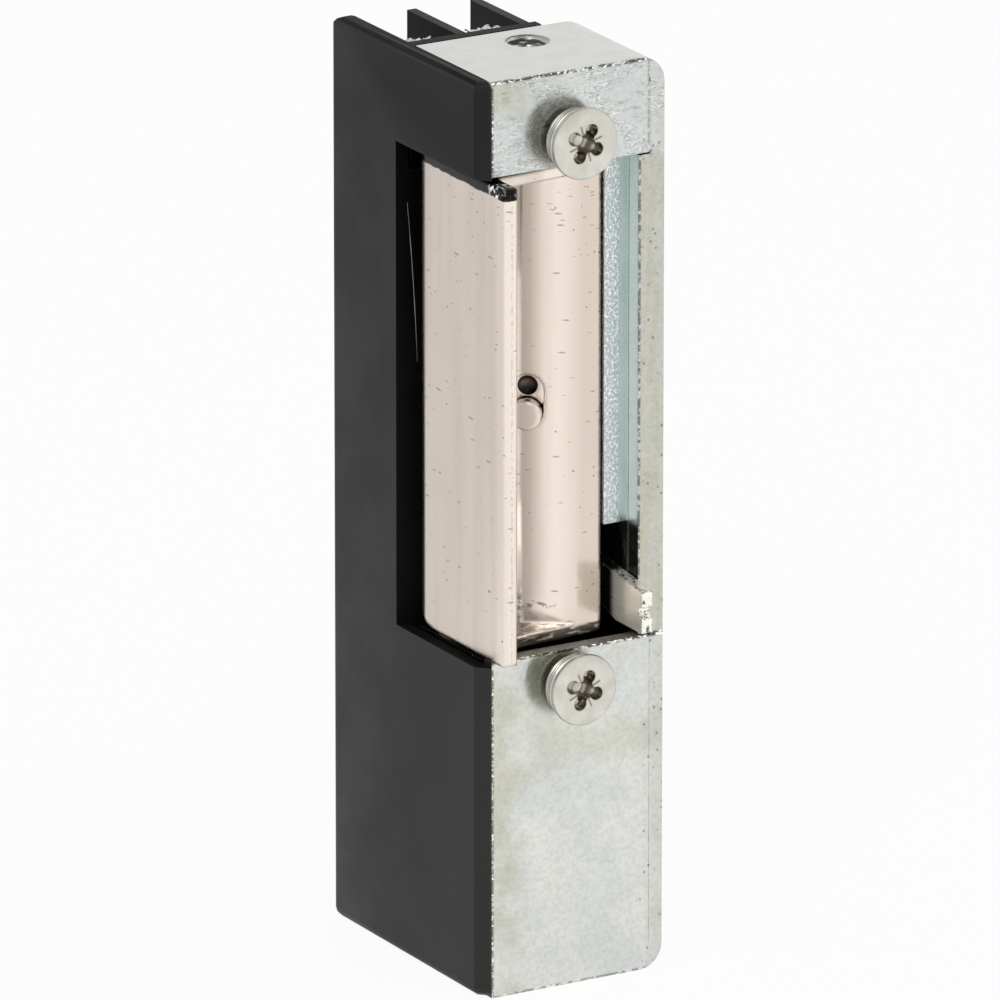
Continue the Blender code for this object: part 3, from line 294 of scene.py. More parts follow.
def makeCamera():
    lens = bpy.data.cameras.new("camera")
    lens.lens = studio["lens"]
    lens.sensor_width = studio["sensor"]
    lens.clip_start, lens.clip_end = studio["clip"]
    camera = bpy.data.objects.new("camera", lens)
    link(camera)
    turn, down, roll = (math.radians(studio[key]) for key in ("heading", "lookDown", "roll"))
    ahead = Vector((math.sin(turn) * math.cos(down), math.cos(turn) * math.cos(down), -math.sin(down)))
    level = ahead.to_track_quat("-Z", "Y").to_matrix()
    camera.rotation_mode = "QUATERNION"
    camera.rotation_quaternion = (Matrix.Rotation(roll, 3, ahead) @ level).to_quaternion()
    camera.location = studio["cameraPlace"]
    bpy.context.scene.camera = camera


def makeLamp(name, place, size, power):
    lamp = bpy.data.lights.new(name, "AREA")
    lamp.shape = "DISK"
    lamp.size = size
    lamp.energy = power
    holder = bpy.data.objects.new(name, lamp)
    holder.location = place
    holder.rotation_mode = "QUATERNION"
    holder.rotation_quaternion = (Vector(studio["lampAim"]) - Vector(place)).to_track_quat("-Z", "Y")
    link(holder)


def joined(share, first, second, outlet):
    tree = share.id_data
    both = add(tree, "ShaderNodeMixShader", {0: share, 1: first.outputs[0], 2: second.outputs[0]})
    add(tree, outlet, {"Surface": both.outputs[0]})


def makeWorld():
    world = bpy.data.worlds.new("studioAir")
    tree = emptyTree(world)
    rays = add(tree, "ShaderNodeLightPath").outputs
    seen = most(rays["Is Camera Ray"], rays["Is Glossy Ray"], rays["Is Transmission Ray"])
    dim, white = (
        add(tree, "ShaderNodeBackground", {"Color": (1, 1, 1), "Strength": strength})
        for strength in (studio["fill"], 1.0)
    )
    joined(seen, dim, white, "ShaderNodeOutputWorld")
    bpy.context.scene.world = world


def makeFloor():
    sheet = bmesh.new()
    bmesh.ops.create_grid(sheet, x_segments=1, y_segments=1, size=studio["floorSize"])
    mesh = bpy.data.meshes.new("floor")
    sheet.to_mesh(mesh)
    sheet.free()
    floor = bpy.data.objects.new("floor", mesh)
    floor.location.z = -studio["floorDrop"]
    link(floor)
    paper = bpy.data.materials.new("paleFloor")
    tree = emptyTree(paper)
    rays = add(tree, "ShaderNodeLightPath").outputs
    pool = spread(placeOf(tree)["Y"], *studio["glowSpan"], *studio["floorGlow"])
    strength = add(tree, "ShaderNodeMix", {0: rays["Is Camera Ray"], 2: pool, 3: 1.0}).outputs[0]
    matt = add(tree, "ShaderNodeBsdfDiffuse", {"Color": studio["floorColour"]})
    glow = add(tree, "ShaderNodeEmission", {"Strength": strength})
    seen = most(rays["Is Camera Ray"], rays["Is Glossy Ray"])
    joined(times(seen, studio["floorShare"]), matt, glow, "ShaderNodeOutputMaterial")
    mesh.materials.append(paper)


bpy.context.scene.view_settings.view_transform = "Standard"
makeCamera()
makeWorld()
makeFloor()
for name in ("softbox", "sideBox"):
    makeLamp(name, **studio[name])
print("studio ready")

# finishes


def brushes(tree, settings):
    # effects by the names that a look gives them; places in millimetres
    place, face = placeOf(tree), facing(tree)

    def patch(name, **more):
        return settings[name](tree, **more)

    def along(name):  # axis, start and end, and the values there if they aren't 0 and 1
        axis, *span = settings["at"][name]
        return ramp(place[axis], *span)

    def zone(name):
        axis, rising, falling = settings["zones"][name]
        return within(place[axis], rising, falling)

    def line(name):
        axis, middle, reach, *share = settings["lines"][name]
        return nearLine(place[axis], middle * mm, reach * mm, *share)

    def turned(name):
        axis, start, end = settings["faces"][name]
        return spread(face[axis], start, end)

    return place, patch, along, zone, line, turned


zincLook = dict(
    pale=(0.615, 0.62, 0.585),
    blue=(0.50, 0.535, 0.53),
    olive=(0.42, 0.415, 0.31),
    flange=(0.605, 0.612, 0.575),
    border=(0.45, 0.445, 0.39),
    # ledge, teal and deep: painted light on the ledge and the inward side in the opening, painted shade below
    # the bearing plate
    ledge=(0.36, 0.335, 0.29),
    teal=(0.68, 0.75, 0.73),
    deep=(0.02, 0.019, 0.017),
    dash=(0.13, 0.135, 0.125),
    torn=(0.03, 0.03, 0.03),
    glint=(0.97, 0.97, 0.95),
    roughness=(0.17, 0.32),
    metallic=(1.0, 0.35),  # in the open, on the faces in the opening
    relief=(0.04 * mm, 0.5),
    patches=cloud(200, 0.36, 0.66, share=0.46),
    film=cloud(170, 0.40, 0.62, share=0.58),
    stain=cloud(900, 0.46, 0.66, stretch=(1, 1, 0.12), share=0.6),
    grain=cloud(2400, 0.36, detail=3.0),
    crinkle=cloud(1500, 0.56, 0.68, stretch=(0.42, 1, 1.5), detail=2.0),
    crinkleCrowd=cloud(330, 0.42, 0.6),
    crinkleShare=(0.08, 0.35),  # low on the frame, on the upper land
    pits=specks(1500, 0.14, 0.14, share=0.55),
    dots=specks(1300, 0.75, 0.2, share=0.7),
    dotCrowd=cloud(260, 0.4, 0.55),
    folds=cloud(2300, 0.25, 0.75, stretch=(0.5, 1, 1.4), detail=2.0),
    foldCrowd=cloud(420, 0.38, 0.58),
    foldDark=(0.45, 0.12),  # value of the folds where the painted shade lies, its reach and its share; below, the same for the painted highlight
    foldLight=(0.62, 0.12, 0.8),
    seamBreak=cloud(1500, 0.42, 0.52, share=0.5),
    blackGrain=cloud(1900, 0.42, 0.5, stretch=(0.6, 1, 1), detail=5.0),
    whiteGrain=cloud(2700, 0.55, 0.62, stretch=(0.8, 1.3, 1)),
    uneven=cloud(420),
    faces=dict(up=("Z", 0.4, 0.8), front=("Y", -0.5, -0.9), inward=("X", -0.5, -0.9)),
    at=dict(
        flange=("Z", 60, 61), ledge=("Z", 61, 60), upper=("Z", 70, 84), leftSide=("X", -2.0, -7.5),
        border=("X", 7.2, 7.6, 0.0, 0.8), outerSide=("X", 7.8, 9.8, 0.0, 0.35), lit=("Z", 45.4, 46.4),
        dots=("X", 7.4, 7.9), folds=("Z", 82.5, 83.6, 0.04, 0.42), seamFoot=("Z", 83.2, 83.6),
    ),
    zones=dict(opening=("Z", (34.3, 34.8), (83.6, 83.2))),
    lines=dict(
        screw=("Z", 29, 11, 0.7), seam=("X", 8.5, 0.2), top=("Z", 93.0, 0.42), topFront=("Y", -13.15, 0.42),
        land=("Z", 34.5, 0.38), side=("X", -8.95, 0.3, 0.8), low=("Z", 0.0, 0.35, 0.6),
        border=("X", 7.45, 0.3, 0.8), borderFront=("Y", -13.15, 0.3),
    ),
    upperShare=0.6,
    grainShare=0.14,
    grainHeight=0.12,
    tornShare=0.88,
    # share of the painted glints taken off the border's edge
    dullBorder=0.7,
)


def makeZinc():
    look = named(zincLook)
    material, tree, shader = newFinish("zincPlate", 1.0)
    _, patch, along, zone, line, turned = brushes(tree, zincLook)
    level, front, inward = turned("up"), turned("front"), turned("inward")
    flange = times(level, along("flange"))
    # the ledge is painted paler and less metallic than the zinc, as painted light against its shade
    ledge = times(level, along("ledge"))
    upper = along("upper")
    # olive film: along the lands' left side and round the screws
    filmed = most(along("leftSide"), line("screw"))
    # greyer border beside the opening; its inward side gets painted light beside the bearing plate and
    # painted shade below it
    opening = zone("opening")
    border = times(along("border"), opening, front)
    outerSide = times(along("outerSide"), front)
    lit = mixColour(along("lit"), look.deep, look.teal)
    grain = patch("grain")
    colour = layered(
        mixColour(patch("patches"), look.pale, look.blue),
        (times(upper, look.upperShare), look.blue),
        (times(patch("film"), filmed, front), look.olive),
        (flange, look.flange),
        (most(border, outerSide), look.border),
        (times(patch("stain"), border), look.olive),
        (inward, lit),
        (times(grain, front, look.grainShare), look.dash),
    )
    # crinkles, pits and folds of the upper land, sparser below; the folds' dark and light lines are painted
    # shade and painted highlight
    crinkled = times(front, scaled(upper, *look.crinkleShare))
    crinkle = times(patch("crinkle"), patch("crinkleCrowd"), crinkled)
    pits = times(patch("pits"), front)
    dots = times(patch("dots"), along("dots"), front, patch("dotCrowd"))
    folds = patch("folds")
    folded = times(front, along("folds"), patch("foldCrowd"))
    foldDark = times(nearLine(folds, *look.foldDark), folded)
    foldLight = times(nearLine(folds, *look.foldLight), folded)
    seam = times(line("seam"), front, along("seamFoot"), patch("seamBreak"))
    dark = most(crinkle, pits, dots, foldDark, seam)
    # torn edges: black grains and painted white glints in a narrow line
    topEdge = times(line("topFront"), line("top"))
    landEdge = times(line("land"), front)
    sideEdge = times(line("side"), front)
    lowEdge = times(line("low"), front)
    borderEdge = times(line("border"), line("borderFront"), opening)
    edges = most(topEdge, landEdge, sideEdge, lowEdge, borderEdge)
    blackGrain = patch("blackGrain")
    torn = times(edges, blackGrain)
    bright = calc("SUBTRACT", edges, times(borderEdge, look.dullBorder))
    colour = layered(
        colour,
        (dark, look.dash),
        (foldLight, look.glint),
        (ledge, mixColour(blackGrain, look.olive, look.ledge)),
        (times(torn, look.tornShare), look.torn),
        (times(bright, patch("whiteGrain")), look.glint),
    )
    metallic = scaled(most(inward, ledge), *look.metallic)
    paint(shader, colour, scaled(patch("uneven"), *look.roughness), metallic)
    height = calc("SUBTRACT", times(grain, look.grainHeight), most(dark, torn))
    relief(shader, height, *look.relief)
    return material


nickelLook = dict(
    warm=(0.655, 0.575, 0.51),
    shade=(0.585, 0.505, 0.44),
    # corner: painted shade in the pocket's corner; light: painted highlights; wall and strip: painted light
    corner=(0.51, 0.43, 0.365),
    light=(0.79, 0.705, 0.625),
    wall=(0.80, 0.775, 0.75),
    strip=(0.95, 0.85, 0.76),
    foot=(0.045, 0.04, 0.036),
    pore=(0.10, 0.075, 0.065),
    scratch=(0.36, 0.30, 0.27),
    bare=(0.012, 0.011, 0.010),
    glint=(1.0, 1.0, 1.0),
    scoop=(0.97, 0.93, 0.86),
    roughness=(0.19, 0.27),
    metallic=(1.0, 0.4),  # all over, on the lip's inner wall and the strip beside it
    relief=(0.03 * mm, 0.35),
    softEdge=0.55 * mm,
    streaks=cloud(420, 0.35, stretch=(1, 1, 0.07)),
    haze=cloud(90, 0.4, 0.68, share=0.25),
    wobble=cloud(1500, 0.2, 0.8, stretch=(1, 1, 0.3), share=0.16 * mm),
    band=((-2.72, -2.5), (-1.62, -1.76)),
    bandShare=(0.55, 0.95),
    crowd=cloud(130, 0.35, 0.62),
    pores=specks(1400, None, 0.135, stretch=(1, 0.6, 1)),
    poreAmount=(0.1, 0.5),  # where marks are few, where they crowd
    dashes=specks(900, None, 0.17, stretch=(0.5, 0.35, 1.9), share=0.7),
    dashAmount=(0.3, 0.95),
    scratches=specks(300, 0.2, 0.1, stretch=(1.2, 1.0, 0.2), share=0.3),
    linePores=cloud(4000, 0.46, 0.6, stretch=(1, 1, 0.8), share=0.4),
    poreLine=metres(-8.55, 0.16),  # middle and half width of the row of pores on the lip's nose
    noseFront=-15.4 * mm,
    ragged=cloud(700, 0.2, 0.8, detail=5.0, share=0.2 * mm),
    bareFrom=(81.9, 82.02),
    glints=cloud(1700, 0.54, 0.6, detail=5.0),
    rough=cloud(2000, 0.47, 0.56, stretch=(0.5, 1, 1.4), detail=5.0),
    footGrain=cloud(1300, 0.36, 0.52, stretch=(0.45, 1, 2.0), detail=5.0),
    footShare=(0.35, 0.95),
    waves=cloud(150, 0.2, 0.8, detail=1.0, share=0.5),
    faces=dict(innerWall=("X", 0.5, 0.8), scoop=("Z", 0.15, 0.5)),
    at=dict(
        lip=("X", -6.9, -7.5), behindPin=("Y", -9.1, -8.7), nose=("Y", -13.6, -15.6, 0.0, 0.6),
        right=("X", 0.0, 2.8, 0.0, 0.9), glintStart=("Y", -12.6, -13.8),
        glintEnd=("Y", -15.7, -15.0, 0.15, 1.0), scoop=("Z", 40, 39), pocketDepth=("Y", -11.5, -10.8),
        pocketSide=("X", -4.3, -4.1), rimEnd=("X", 0.6, -1.2), foot=("Z", 36.1, 35.8),
    ),
    zones=dict(
        inside=("Z", (36.2, 37.5), (81.9, 81.4)), middle=("X", (-2.9, -1.4, 0.0, 0.6), (2.6, -0.4)),
        strip=("X", (-4.2, -3.6), (-2.6, -2.8)),
    ),
    lines=dict(rim=("Z", 37.9, 0.45, 0.7)),
    streakShare=0.4,
    markShare=0.75,
    scoopShare=0.85,
    scoopGrain=0.55,
)


def makeNickel():
    look = named(nickelLook)
    material, tree, shader = newFinish("nickelPlate", 1.0)
    place, patch, along, zone, line, turned = brushes(tree, nickelLook)
    lip, streaks = along("lip"), patch("streaks")
    pocketWall = times(along("behindPin"), zone("inside"))
    # painted shade: brown band in the corner of the pocket; painted light: pale strip and inner wall beside
    # it
    shifted = calc("ADD", place["X"], patch("wobble"))
    streaked = scaled(streaks, *look.bandShare)
    band = times(within(shifted, *look.band), pocketWall, streaked)
    strip = times(zone("strip"), pocketWall)
    innerWall = times(turned("innerWall"), lip)
    # pores and dashes in crowds, and a row of pores on the nose
    crowd = patch("crowd")
    pores = patch("pores", Amount=scaled(crowd, *look.poreAmount))
    dashes = patch("dashes", Amount=scaled(crowd, *look.dashAmount))
    row, halfWidth = look.poreLine
    fromRow = calc("ABSOLUTE", calc("SUBTRACT", place["X"], row))
    onNose = calc("LESS_THAN", place["Y"], look.noseFront)
    linePores = times(patch("linePores"), spread(fromRow, 0.0, halfWidth, 1.0, 0.0), onNose)
    dark = most(pores, dashes, linePores)
    # painted dark reflection of the housing along the lip's top end, with painted glints towards its nose
    rise = calc("ADD", place["Z"], patch("ragged"))
    bare = times(ramp(rise, *look.bareFrom), lip)
    glints = times(patch("glints"), along("glintStart"), along("glintEnd"))
    # painted highlight on the scoop at the pocket's bottom with a grainy rim of painted shade, and a dark
    # grainy foot of painted shade
    besideLip = without(lip)
    scoop = times(turned("scoop"), along("scoop"), besideLip)
    rim = times(line("rim"), along("rimEnd"), along("pocketDepth"), along("pocketSide"))
    rough = times(most(rim, times(scoop, look.scoopGrain)), patch("rough"))
    foot = times(along("foot"), besideLip, scaled(patch("footGrain"), *look.footShare))
    colour = layered(
        mixColour(times(streaks, look.streakShare), look.warm, look.shade),
        (patch("haze"), look.shade),
        (band, look.corner),
        # painted highlights on the nose and the pocket's middle, painted shade on the flat at the right
        (times(along("nose"), lip), look.light),
        (along("right"), look.shade),
        (zone("middle"), look.light),
        (strip, look.strip),
        (innerWall, look.wall),
        (patch("scratches"), look.scratch),
        (times(dark, look.markShare), look.pore),
        (bare, look.bare),
        (times(bare, glints), look.glint),
        (times(scoop, look.scoopShare), look.scoop),
        (rough, look.pore),
        (foot, look.foot),
    )
    metallic = scaled(most(innerWall, strip), *look.metallic)
    paint(shader, colour, scaled(streaks, *look.roughness), metallic)
    soft = use(tree, edgeGroup, Radius=look.softEdge)["Normal"]
    relief(shader, calc("SUBTRACT", patch("waves"), dark), *look.relief, soft)
    return material


plasticLook = dict(
    black=(0.026, 0.0253, 0.0245),
    upper=(0.006, 0.0055, 0.006),
    worn=(0.070, 0.067, 0.066),
    dust=(0.34, 0.33, 0.32),
    roughness=(0.46, 0.53),
    relief=(0.02 * mm, 0.3),
    rise=(25, 92),  # along Z in millimetres
    forward=(9, -12.5),  # along Y
    liftAbove=0.4,  # share of the painted light that is left at the top
    tone=cloud(120),
    toneShare=0.04,
    edge=edgeLine(0.35 * mm, 0.3, 600.0, 0.28),
    edgeShare=0.5,
    flecks=specks(800, 0.10, 0.06),
    fleckShare=0.7,
    lint=specks(420, 0.05, 0.055, stretch=(1, 1, 0.3)),
    grain=cloud(5200, detail=2.0),
)


def makePlastic(name="blackMoulding", specular=0.30, shade=1.0, lift=0.0):
    look = named(plasticLook)
    material, tree, shader = newFinish(name, 0.0, specular)
    place, patches = placeOf(tree), look.tone(tree)
    black, upper = ([v * shade for v in tone] for tone in (look.black, look.upper))
    # painted light and shade: paler below, darker towards the top
    colour = mixColour(ramp(place["Z"], *look.rise), black, upper)
    colour = mixColour(times(patches, look.toneShare * shade), colour, look.worn)
    if lift:  # side wall: painted light, paler towards the front and the foot
        low = ramp(place["Z"], *look.rise, lift, lift * look.liftAbove)
        nearer = times(ramp(place["Y"], *look.forward), low)
        colour = mixColour(nearer, colour, look.worn)
    edge = look.edge(tree)
    flecks = times(look.flecks(tree), look.fleckShare * shade)
    lint = times(look.lint(tree), shade)
    # lighter broken line along the edges, wear and partly a painted highlight; dust and lint
    colour = layered(
        colour,
        (times(edge, look.edgeShare * shade), look.worn),
        (most(flecks, lint), look.dust),
    )
    paint(shader, colour, scaled(patches, *look.roughness))
    relief(shader, look.grain(tree), *look.relief)
    return material


steelLook = dict(
    pit=(0.08, 0.075, 0.07),
    # deep: colour of the painted shade at the end of a fade
    deep=(0.012, 0.011, 0.01),
    # shaded rim: colour of the painted shade along the edges of screw heads
    rim=(0.10, 0.098, 0.085),
    tornDark=(0.05, 0.045, 0.04),
    tornLight=(0.95, 0.95, 0.93),
    relief=(0.015 * mm, 0.35),
    brush=cloud(700, stretch=(1, 0.15, 1), detail=5),
    brushShare=0.5,
    stain=cloud(180, 0.42, 0.72, share=0.4),
    pits=specks(1500, 0.08, 0.14),
    pitShare=0.7,
    rimLine=edgeLine(0.25 * mm, 0.09, 900.0, 0.1),
    tipGrain=cloud(2200, 0.57, 0.62),
    topGrain=cloud(2600, 0.52, 0.6, stretch=(1, 0.6, 1), detail=5),
    front=(-0.5, -0.9),  # of the normal's Y
    up=(0.4, 0.7),  # of the normal's Z
    darkEdge=edgeLine(0.34 * mm, 0.15, 3400.0, 0.42),
    lightEdge=edgeLine(0.34 * mm, 0.15, 5200.0, 0.46),
)


def makeSteel(name, bright, dull, roughness, tornEdge=0.0, metallic=1.0, shadeFade=None, rim=0.0):
    look = named(steelLook)
    material, tree, shader = newFinish(name, metallic)
    brush, pits = look.brush(tree), look.pits(tree)
    colour = layered(
        mixColour(times(brush, look.brushShare), bright, dull),
        (look.stain(tree), dull),
        (times(pits, look.pitShare), look.pit),
    )
    if shadeFade:  # painted shade into the dark of the opening: axis, where it starts, where it ends
        axis, start, end = shadeFade
        colour = mixColour(ramp(placeOf(tree)[axis], start, end), colour, look.deep)
    # painted shade: a dark broken line along the screw head's edges
    if rim:
        line = look.rimLine(tree)
        colour = mixColour(times(line, rim), colour, look.rim)
    # torn edges: dark grains, and painted glints along the edges
    if tornEdge:
        face = facing(tree)
        tip = times(look.tipGrain(tree), spread(face["Y"], *look.front))
        topSide = times(look.topGrain(tree), spread(face["Z"], *look.up))
        dark, light = look.darkEdge(tree), look.lightEdge(tree)
        colour = layered(
            colour,
            (times(most(tip, topSide), tornEdge), look.tornDark),
            (times(dark, tornEdge), look.tornDark),
            (times(light, tornEdge), look.tornLight),
        )
    paint(shader, colour, scaled(brush, *roughness))
    relief(shader, calc("SUBTRACT", brush, pits), *look.relief)
    return material


stripLook = dict(
    rough=((0.41, 0.465, 0.465), (0.72, 0.765, 0.765)),
    flake=(0.95, 0.97, 0.97),
    smooth=((0.545, 0.63, 0.62), (0.61, 0.69, 0.68)),
    roughness=(0.36, 0.24),  # inner half, outer half
    relief=(0.05 * mm, 0.6),
    outer=(6.35, 6.6),  # along X in millimetres
    grains=cloud(3400, 0.40, 0.62, detail=6.0),
    glitter=specks(4200, 0.4, 0.42),
    soft=cloud(800, stretch=(1, 1, 0.2)),
)


def makeStrip():
    # bearing plate: coarse glittering zinc on its inner half, smooth pale blue outside
    look = named(stripLook)
    material, tree, shader = newFinish("bearingStrip", 1.0)
    outer = ramp(placeOf(tree)["X"], *look.outer)
    grains, glitter = look.grains(tree), look.glitter(tree)
    rough = mixColour(glitter, mixColour(grains, *look.rough), look.flake)
    smooth = mixColour(look.soft(tree), *look.smooth)
    paint(shader, mixColour(outer, rough, smooth), scaled(outer, *look.roughness))
    relief(shader, times(most(grains, glitter), without(outer)), *look.relief)
    return material


castingLook = dict(
    skin=((0.075, 0.073, 0.068), (0.035, 0.034, 0.032)),
    pore=(0.012, 0.012, 0.012),
    glint=(0.7, 0.7, 0.68),
    roughness=(0.22, 0.4),
    relief=(0.05 * mm, 0.5),
    uneven=cloud(500, detail=6),
    pores=specks(1300, 0.22, 0.22),
    glints=specks(1500, 0.16, 0.16),
)


def makeCasting():
    look = named(castingLook)
    material, tree, shader = newFinish("zincCasting", 1.0)
    uneven, pores = look.uneven(tree), look.pores(tree)
    colour = layered(
        mixColour(uneven, *look.skin),
        (pores, look.pore),
        (look.glints(tree), look.glint),
    )
    paint(shader, colour, scaled(uneven, *look.roughness))
    relief(shader, calc("SUBTRACT", uneven, pores), *look.relief)
    return material


copperLook = dict(
    turns=((0.20, 0.07, 0.03), (0.62, 0.27, 0.11)),  # between the turns (painted shade in the creases), on them
    dull=(0.34, 0.13, 0.05),
    dullShare=0.4,
    roughness=(0.25, 0.4),
    relief=(0.08 * mm, 0.8),
    wave=dict(Scale=1100.0, Distortion=0.6),
    tone=cloud(300),
)


def makeCopper():
    look = named(copperLook)
    material, tree, shader = newFinish("copperWinding", 1.0)
    place = add(tree, "ShaderNodeTexCoord").outputs["Object"]
    wave = add(tree, "ShaderNodeTexWave", {"Vector": place, **look.wave}, bands_direction="Z").outputs["Fac"]
    tone = look.tone(tree)
    colour = mixColour(wave, *look.turns)
    colour = mixColour(times(tone, look.dullShare), colour, look.dull)
    paint(shader, colour, scaled(tone, *look.roughness))
    relief(shader, wave, *look.relief)
    return material


mouldedLook = dict(
    specular=0.45,
    relief=(0.015 * mm, 0.3),
    tone=cloud(220),
    grain=cloud(4200, detail=2.0),
)


def makeMoulded(name, base, second, roughness):
    look = named(mouldedLook)
    material, tree, shader = newFinish(name, 0.0, look.specular)
    tone = look.tone(tree)
    paint(shader, mixColour(tone, base, second), scaled(tone, *roughness))
    relief(shader, look.grain(tree), *look.relief)
    return material


# each steel: bright tone, dull tone, range of roughness; painted-shade fades in millimetres
finishes = {
    "frameZinc": makeZinc(),
    "screwZinc": makeSteel("screwZinc", (0.58, 0.567, 0.52), (0.44, 0.43, 0.38), (0.24, 0.36), rim=0.75),
    "recess": makeSteel("screwRecess", (0.42, 0.39, 0.345), (0.28, 0.26, 0.225), (0.2, 0.32)),
    "nickel": makeNickel(),
    "plastic": makePlastic(),
    # darker copies of the black plastic, as painted shade; the side's copy also gets painted light
    "sidePlastic": makePlastic("blackSide", specular=0.20, shade=0.55, lift=0.52),
    "chamferPlastic": makePlastic("blackChamfer", specular=0.22, shade=0.8),
    "finPlastic": makePlastic("blackFins", specular=0.08, shade=0.6),
    "deepPlastic": makePlastic("blackInside", specular=0.06, shade=0.25),
    "flashLine": makeMoulded("flashLine", (0.10, 0.10, 0.095), (0.30, 0.29, 0.28), (0.4, 0.6)),
    "steel": makeSteel("brightSteel", (0.60, 0.58, 0.54), (0.42, 0.39, 0.34), (0.2, 0.34)),
    "lever": makeSteel(
        "leverNickel", (0.97, 0.95, 0.86), (0.86, 0.85, 0.75), (0.22, 0.34),
        tornEdge=0.9, metallic=0.5, shadeFade=("Y", -11.0, -9.9),
    ),
    "thread": makeSteel("holeThread", (0.62, 0.61, 0.57), (0.14, 0.135, 0.12), (0.25, 0.4)),
    "strip": makeStrip(),
    "casting": makeCasting(),
    "dimple": makeSteel(
        "dimpleShade", (0.24, 0.20, 0.17), (0.05, 0.042, 0.036), (0.3, 0.5), shadeFade=("Z", 61.3, 59.6)
    ),
    "foil": makeSteel("crushedTin", (0.95, 0.95, 0.93), (0.10, 0.095, 0.085), (0.1, 0.22), tornEdge=0.6),
    "copper": makeCopper(),
    "nylon": makeMoulded("naturalNylon", (0.74, 0.71, 0.62), (0.64, 0.61, 0.52), (0.4, 0.55)),
    "brass": makeSteel(
        "terminalBrass", (0.78, 0.74, 0.64), (0.55, 0.49, 0.36), (0.18, 0.3),
        tornEdge=0.5, shadeFade=("Y", 8.2, 6.2),
    ),
    "wire": makeMoulded("wireCoat", (0.40, 0.02, 0.02), (0.28, 0.012, 0.012), (0.4, 0.5)),
}
finishOf = {
    "steel_frame": "frameZinc",
    "housing": "plastic",
    "keeper": "nickel",
    "hold_open_pin": "nickel",
    "bearing_plate": "strip",
    "release_lever": "lever",
    "upper_bearing_block": "casting",
    "lower_bearing_block": "casting",
    "coil_winding": "copper",
    "coil_bobbin": "nylon",
}
screwNodes = ("mounting_screw", "terminal_screw", "housing_screw")
for start, finish in ((screwNodes, "screwZinc"), ("terminal_clamp", "brass"), ("lead_wire", "wire")):
    finishOf.update({name: finish for name in nodes if name.startswith(start)})
for name, node in nodes.items():
    node.data.materials.clear()
    node.data.materials.append(finishes[finishOf.get(name, "steel")])
print("finishes ready:", len(finishes))

# pieces
proud = 0.2 * mm  # how far a cutter stands out of the face that it cuts
pointRadius = 0.0001 * mm  # a smaller ring becomes one corner


def smoothed(mesh, angle):
    mesh.polygons.foreach_set("use_smooth", [True] * len(mesh.polygons))
    mesh.set_sharp_from_angle(angle=math.radians(angle))


def newPiece(name, shape, finish, body="body", slot=None, stands=(), crease=32):
    mesh = bpy.data.meshes.new(name)
    bmesh.ops.recalc_face_normals(shape, faces=shape.faces)
    shape.to_mesh(mesh)
    shape.free()
    piece = bpy.data.objects.new(name, mesh)
    link(piece)
    mesh.materials.append(finishes[finish])
    smoothed(mesh, crease)
    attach(piece, body)
    if stands:
        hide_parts(*stands)
        slot = slot or slotOf[stands[0]]
    return piece


def joinRings(shape, lower, upper):
    # faces between two rings of corners, either of which may be a single corner
    count = max(len(lower), len(upper))
    for i in range(count):
        j = (i + 1) % count
        corners = [lower[i % len(lower)], lower[j % len(lower)], upper[j % len(upper)], upper[i % len(upper)]]
        corners = list(dict.fromkeys(corners))
        if len(corners) > 2:
            shape.faces.new(corners)


def joinRows(shape, rows):
    # a bar through rows of corners, closed at both ends
    for lower, upper in zip(rows, rows[1:]):
        joinRings(shape, lower, upper)
    shape.faces.new(rows[0])
    shape.faces.new(rows[-1])


def lathe(profile, centre, along, segments, closed=False):
    # turns (distance along, radius) pairs about a line through centre
    along = Vector(along).normalized()
    across = along.orthogonal().normalized()
    third = along.cross(across)
    shape = bmesh.new()
    rings = []
    for step, radius in profile:
        base = Vector(centre) + along * step
        if not callable(radius) and radius < pointRadius:
            rings.append([shape.verts.new(base)])
            continue
        ring = []
        for i in range(segments):
            turn = 2 * math.pi * i / segments
            reach = radius(turn) if callable(radius) else radius
            ring.append(shape.verts.new(base + (across * math.cos(turn) + third * math.sin(turn)) * reach))
        rings.append(ring)
    for lower, upper in zip(rings, rings[1:]):
        joinRings(shape, lower, upper)
    if closed:
        joinRings(shape, rings[-1], rings[0])
    return shape


def carve(shape, cutters):
    # takes the cutters out of the shape and gives the result back
    made = []
    for i, part in enumerate([shape, *cutters]):
        bmesh.ops.recalc_face_normals(part, faces=part.faces)
        mesh = bpy.data.meshes.new("carving")
        part.to_mesh(mesh)
        part.free()
        made.append(bpy.data.objects.new(f"carving{i}", mesh))
        link(made[-1])
    for cutter in made[1:]:
        change = made[0].modifiers.new("cut", "BOOLEAN")
        change.operation = "DIFFERENCE"
        change.solver = "EXACT"
        change.object = cutter
    ready = made[0].evaluated_get(bpy.context.evaluated_depsgraph_get())
    result = bmesh.new()
    result.from_mesh(ready.to_mesh())
    ready.to_mesh_clear()
    for thing in made:
        mesh = thing.data
        bpy.data.objects.remove(thing)
        bpy.data.meshes.remove(mesh)
    return result


def wedge(centre, along, turn, span, width, depth, taper):
    # tapered bar for a driver's recess: long across the axis, narrowing inwards
    along = Vector(along).normalized()
    across = Matrix.Rotation(turn, 3, along) @ along.orthogonal().normalized()
    third = along.cross(across)
    shape = bmesh.new()
    corners = []
    for step, share in ((-proud, 1.0), (depth, taper)):
        for a, b in ((-1, -1), (1, -1), (1, 1), (-1, 1)):
            reach = across * (a * span * share / 2) + third * (b * width * (0.5 + share / 2) / 2)
            corners.append(shape.verts.new(Vector(centre) + along * step + reach))
    for face in ((0, 1, 2, 3), (7, 6, 5, 4), (0, 4, 5, 1), (1, 5, 6, 2), (2, 6, 7, 3), (3, 7, 4, 0)):
        shape.faces.new([corners[i] for i in face])
    return shape


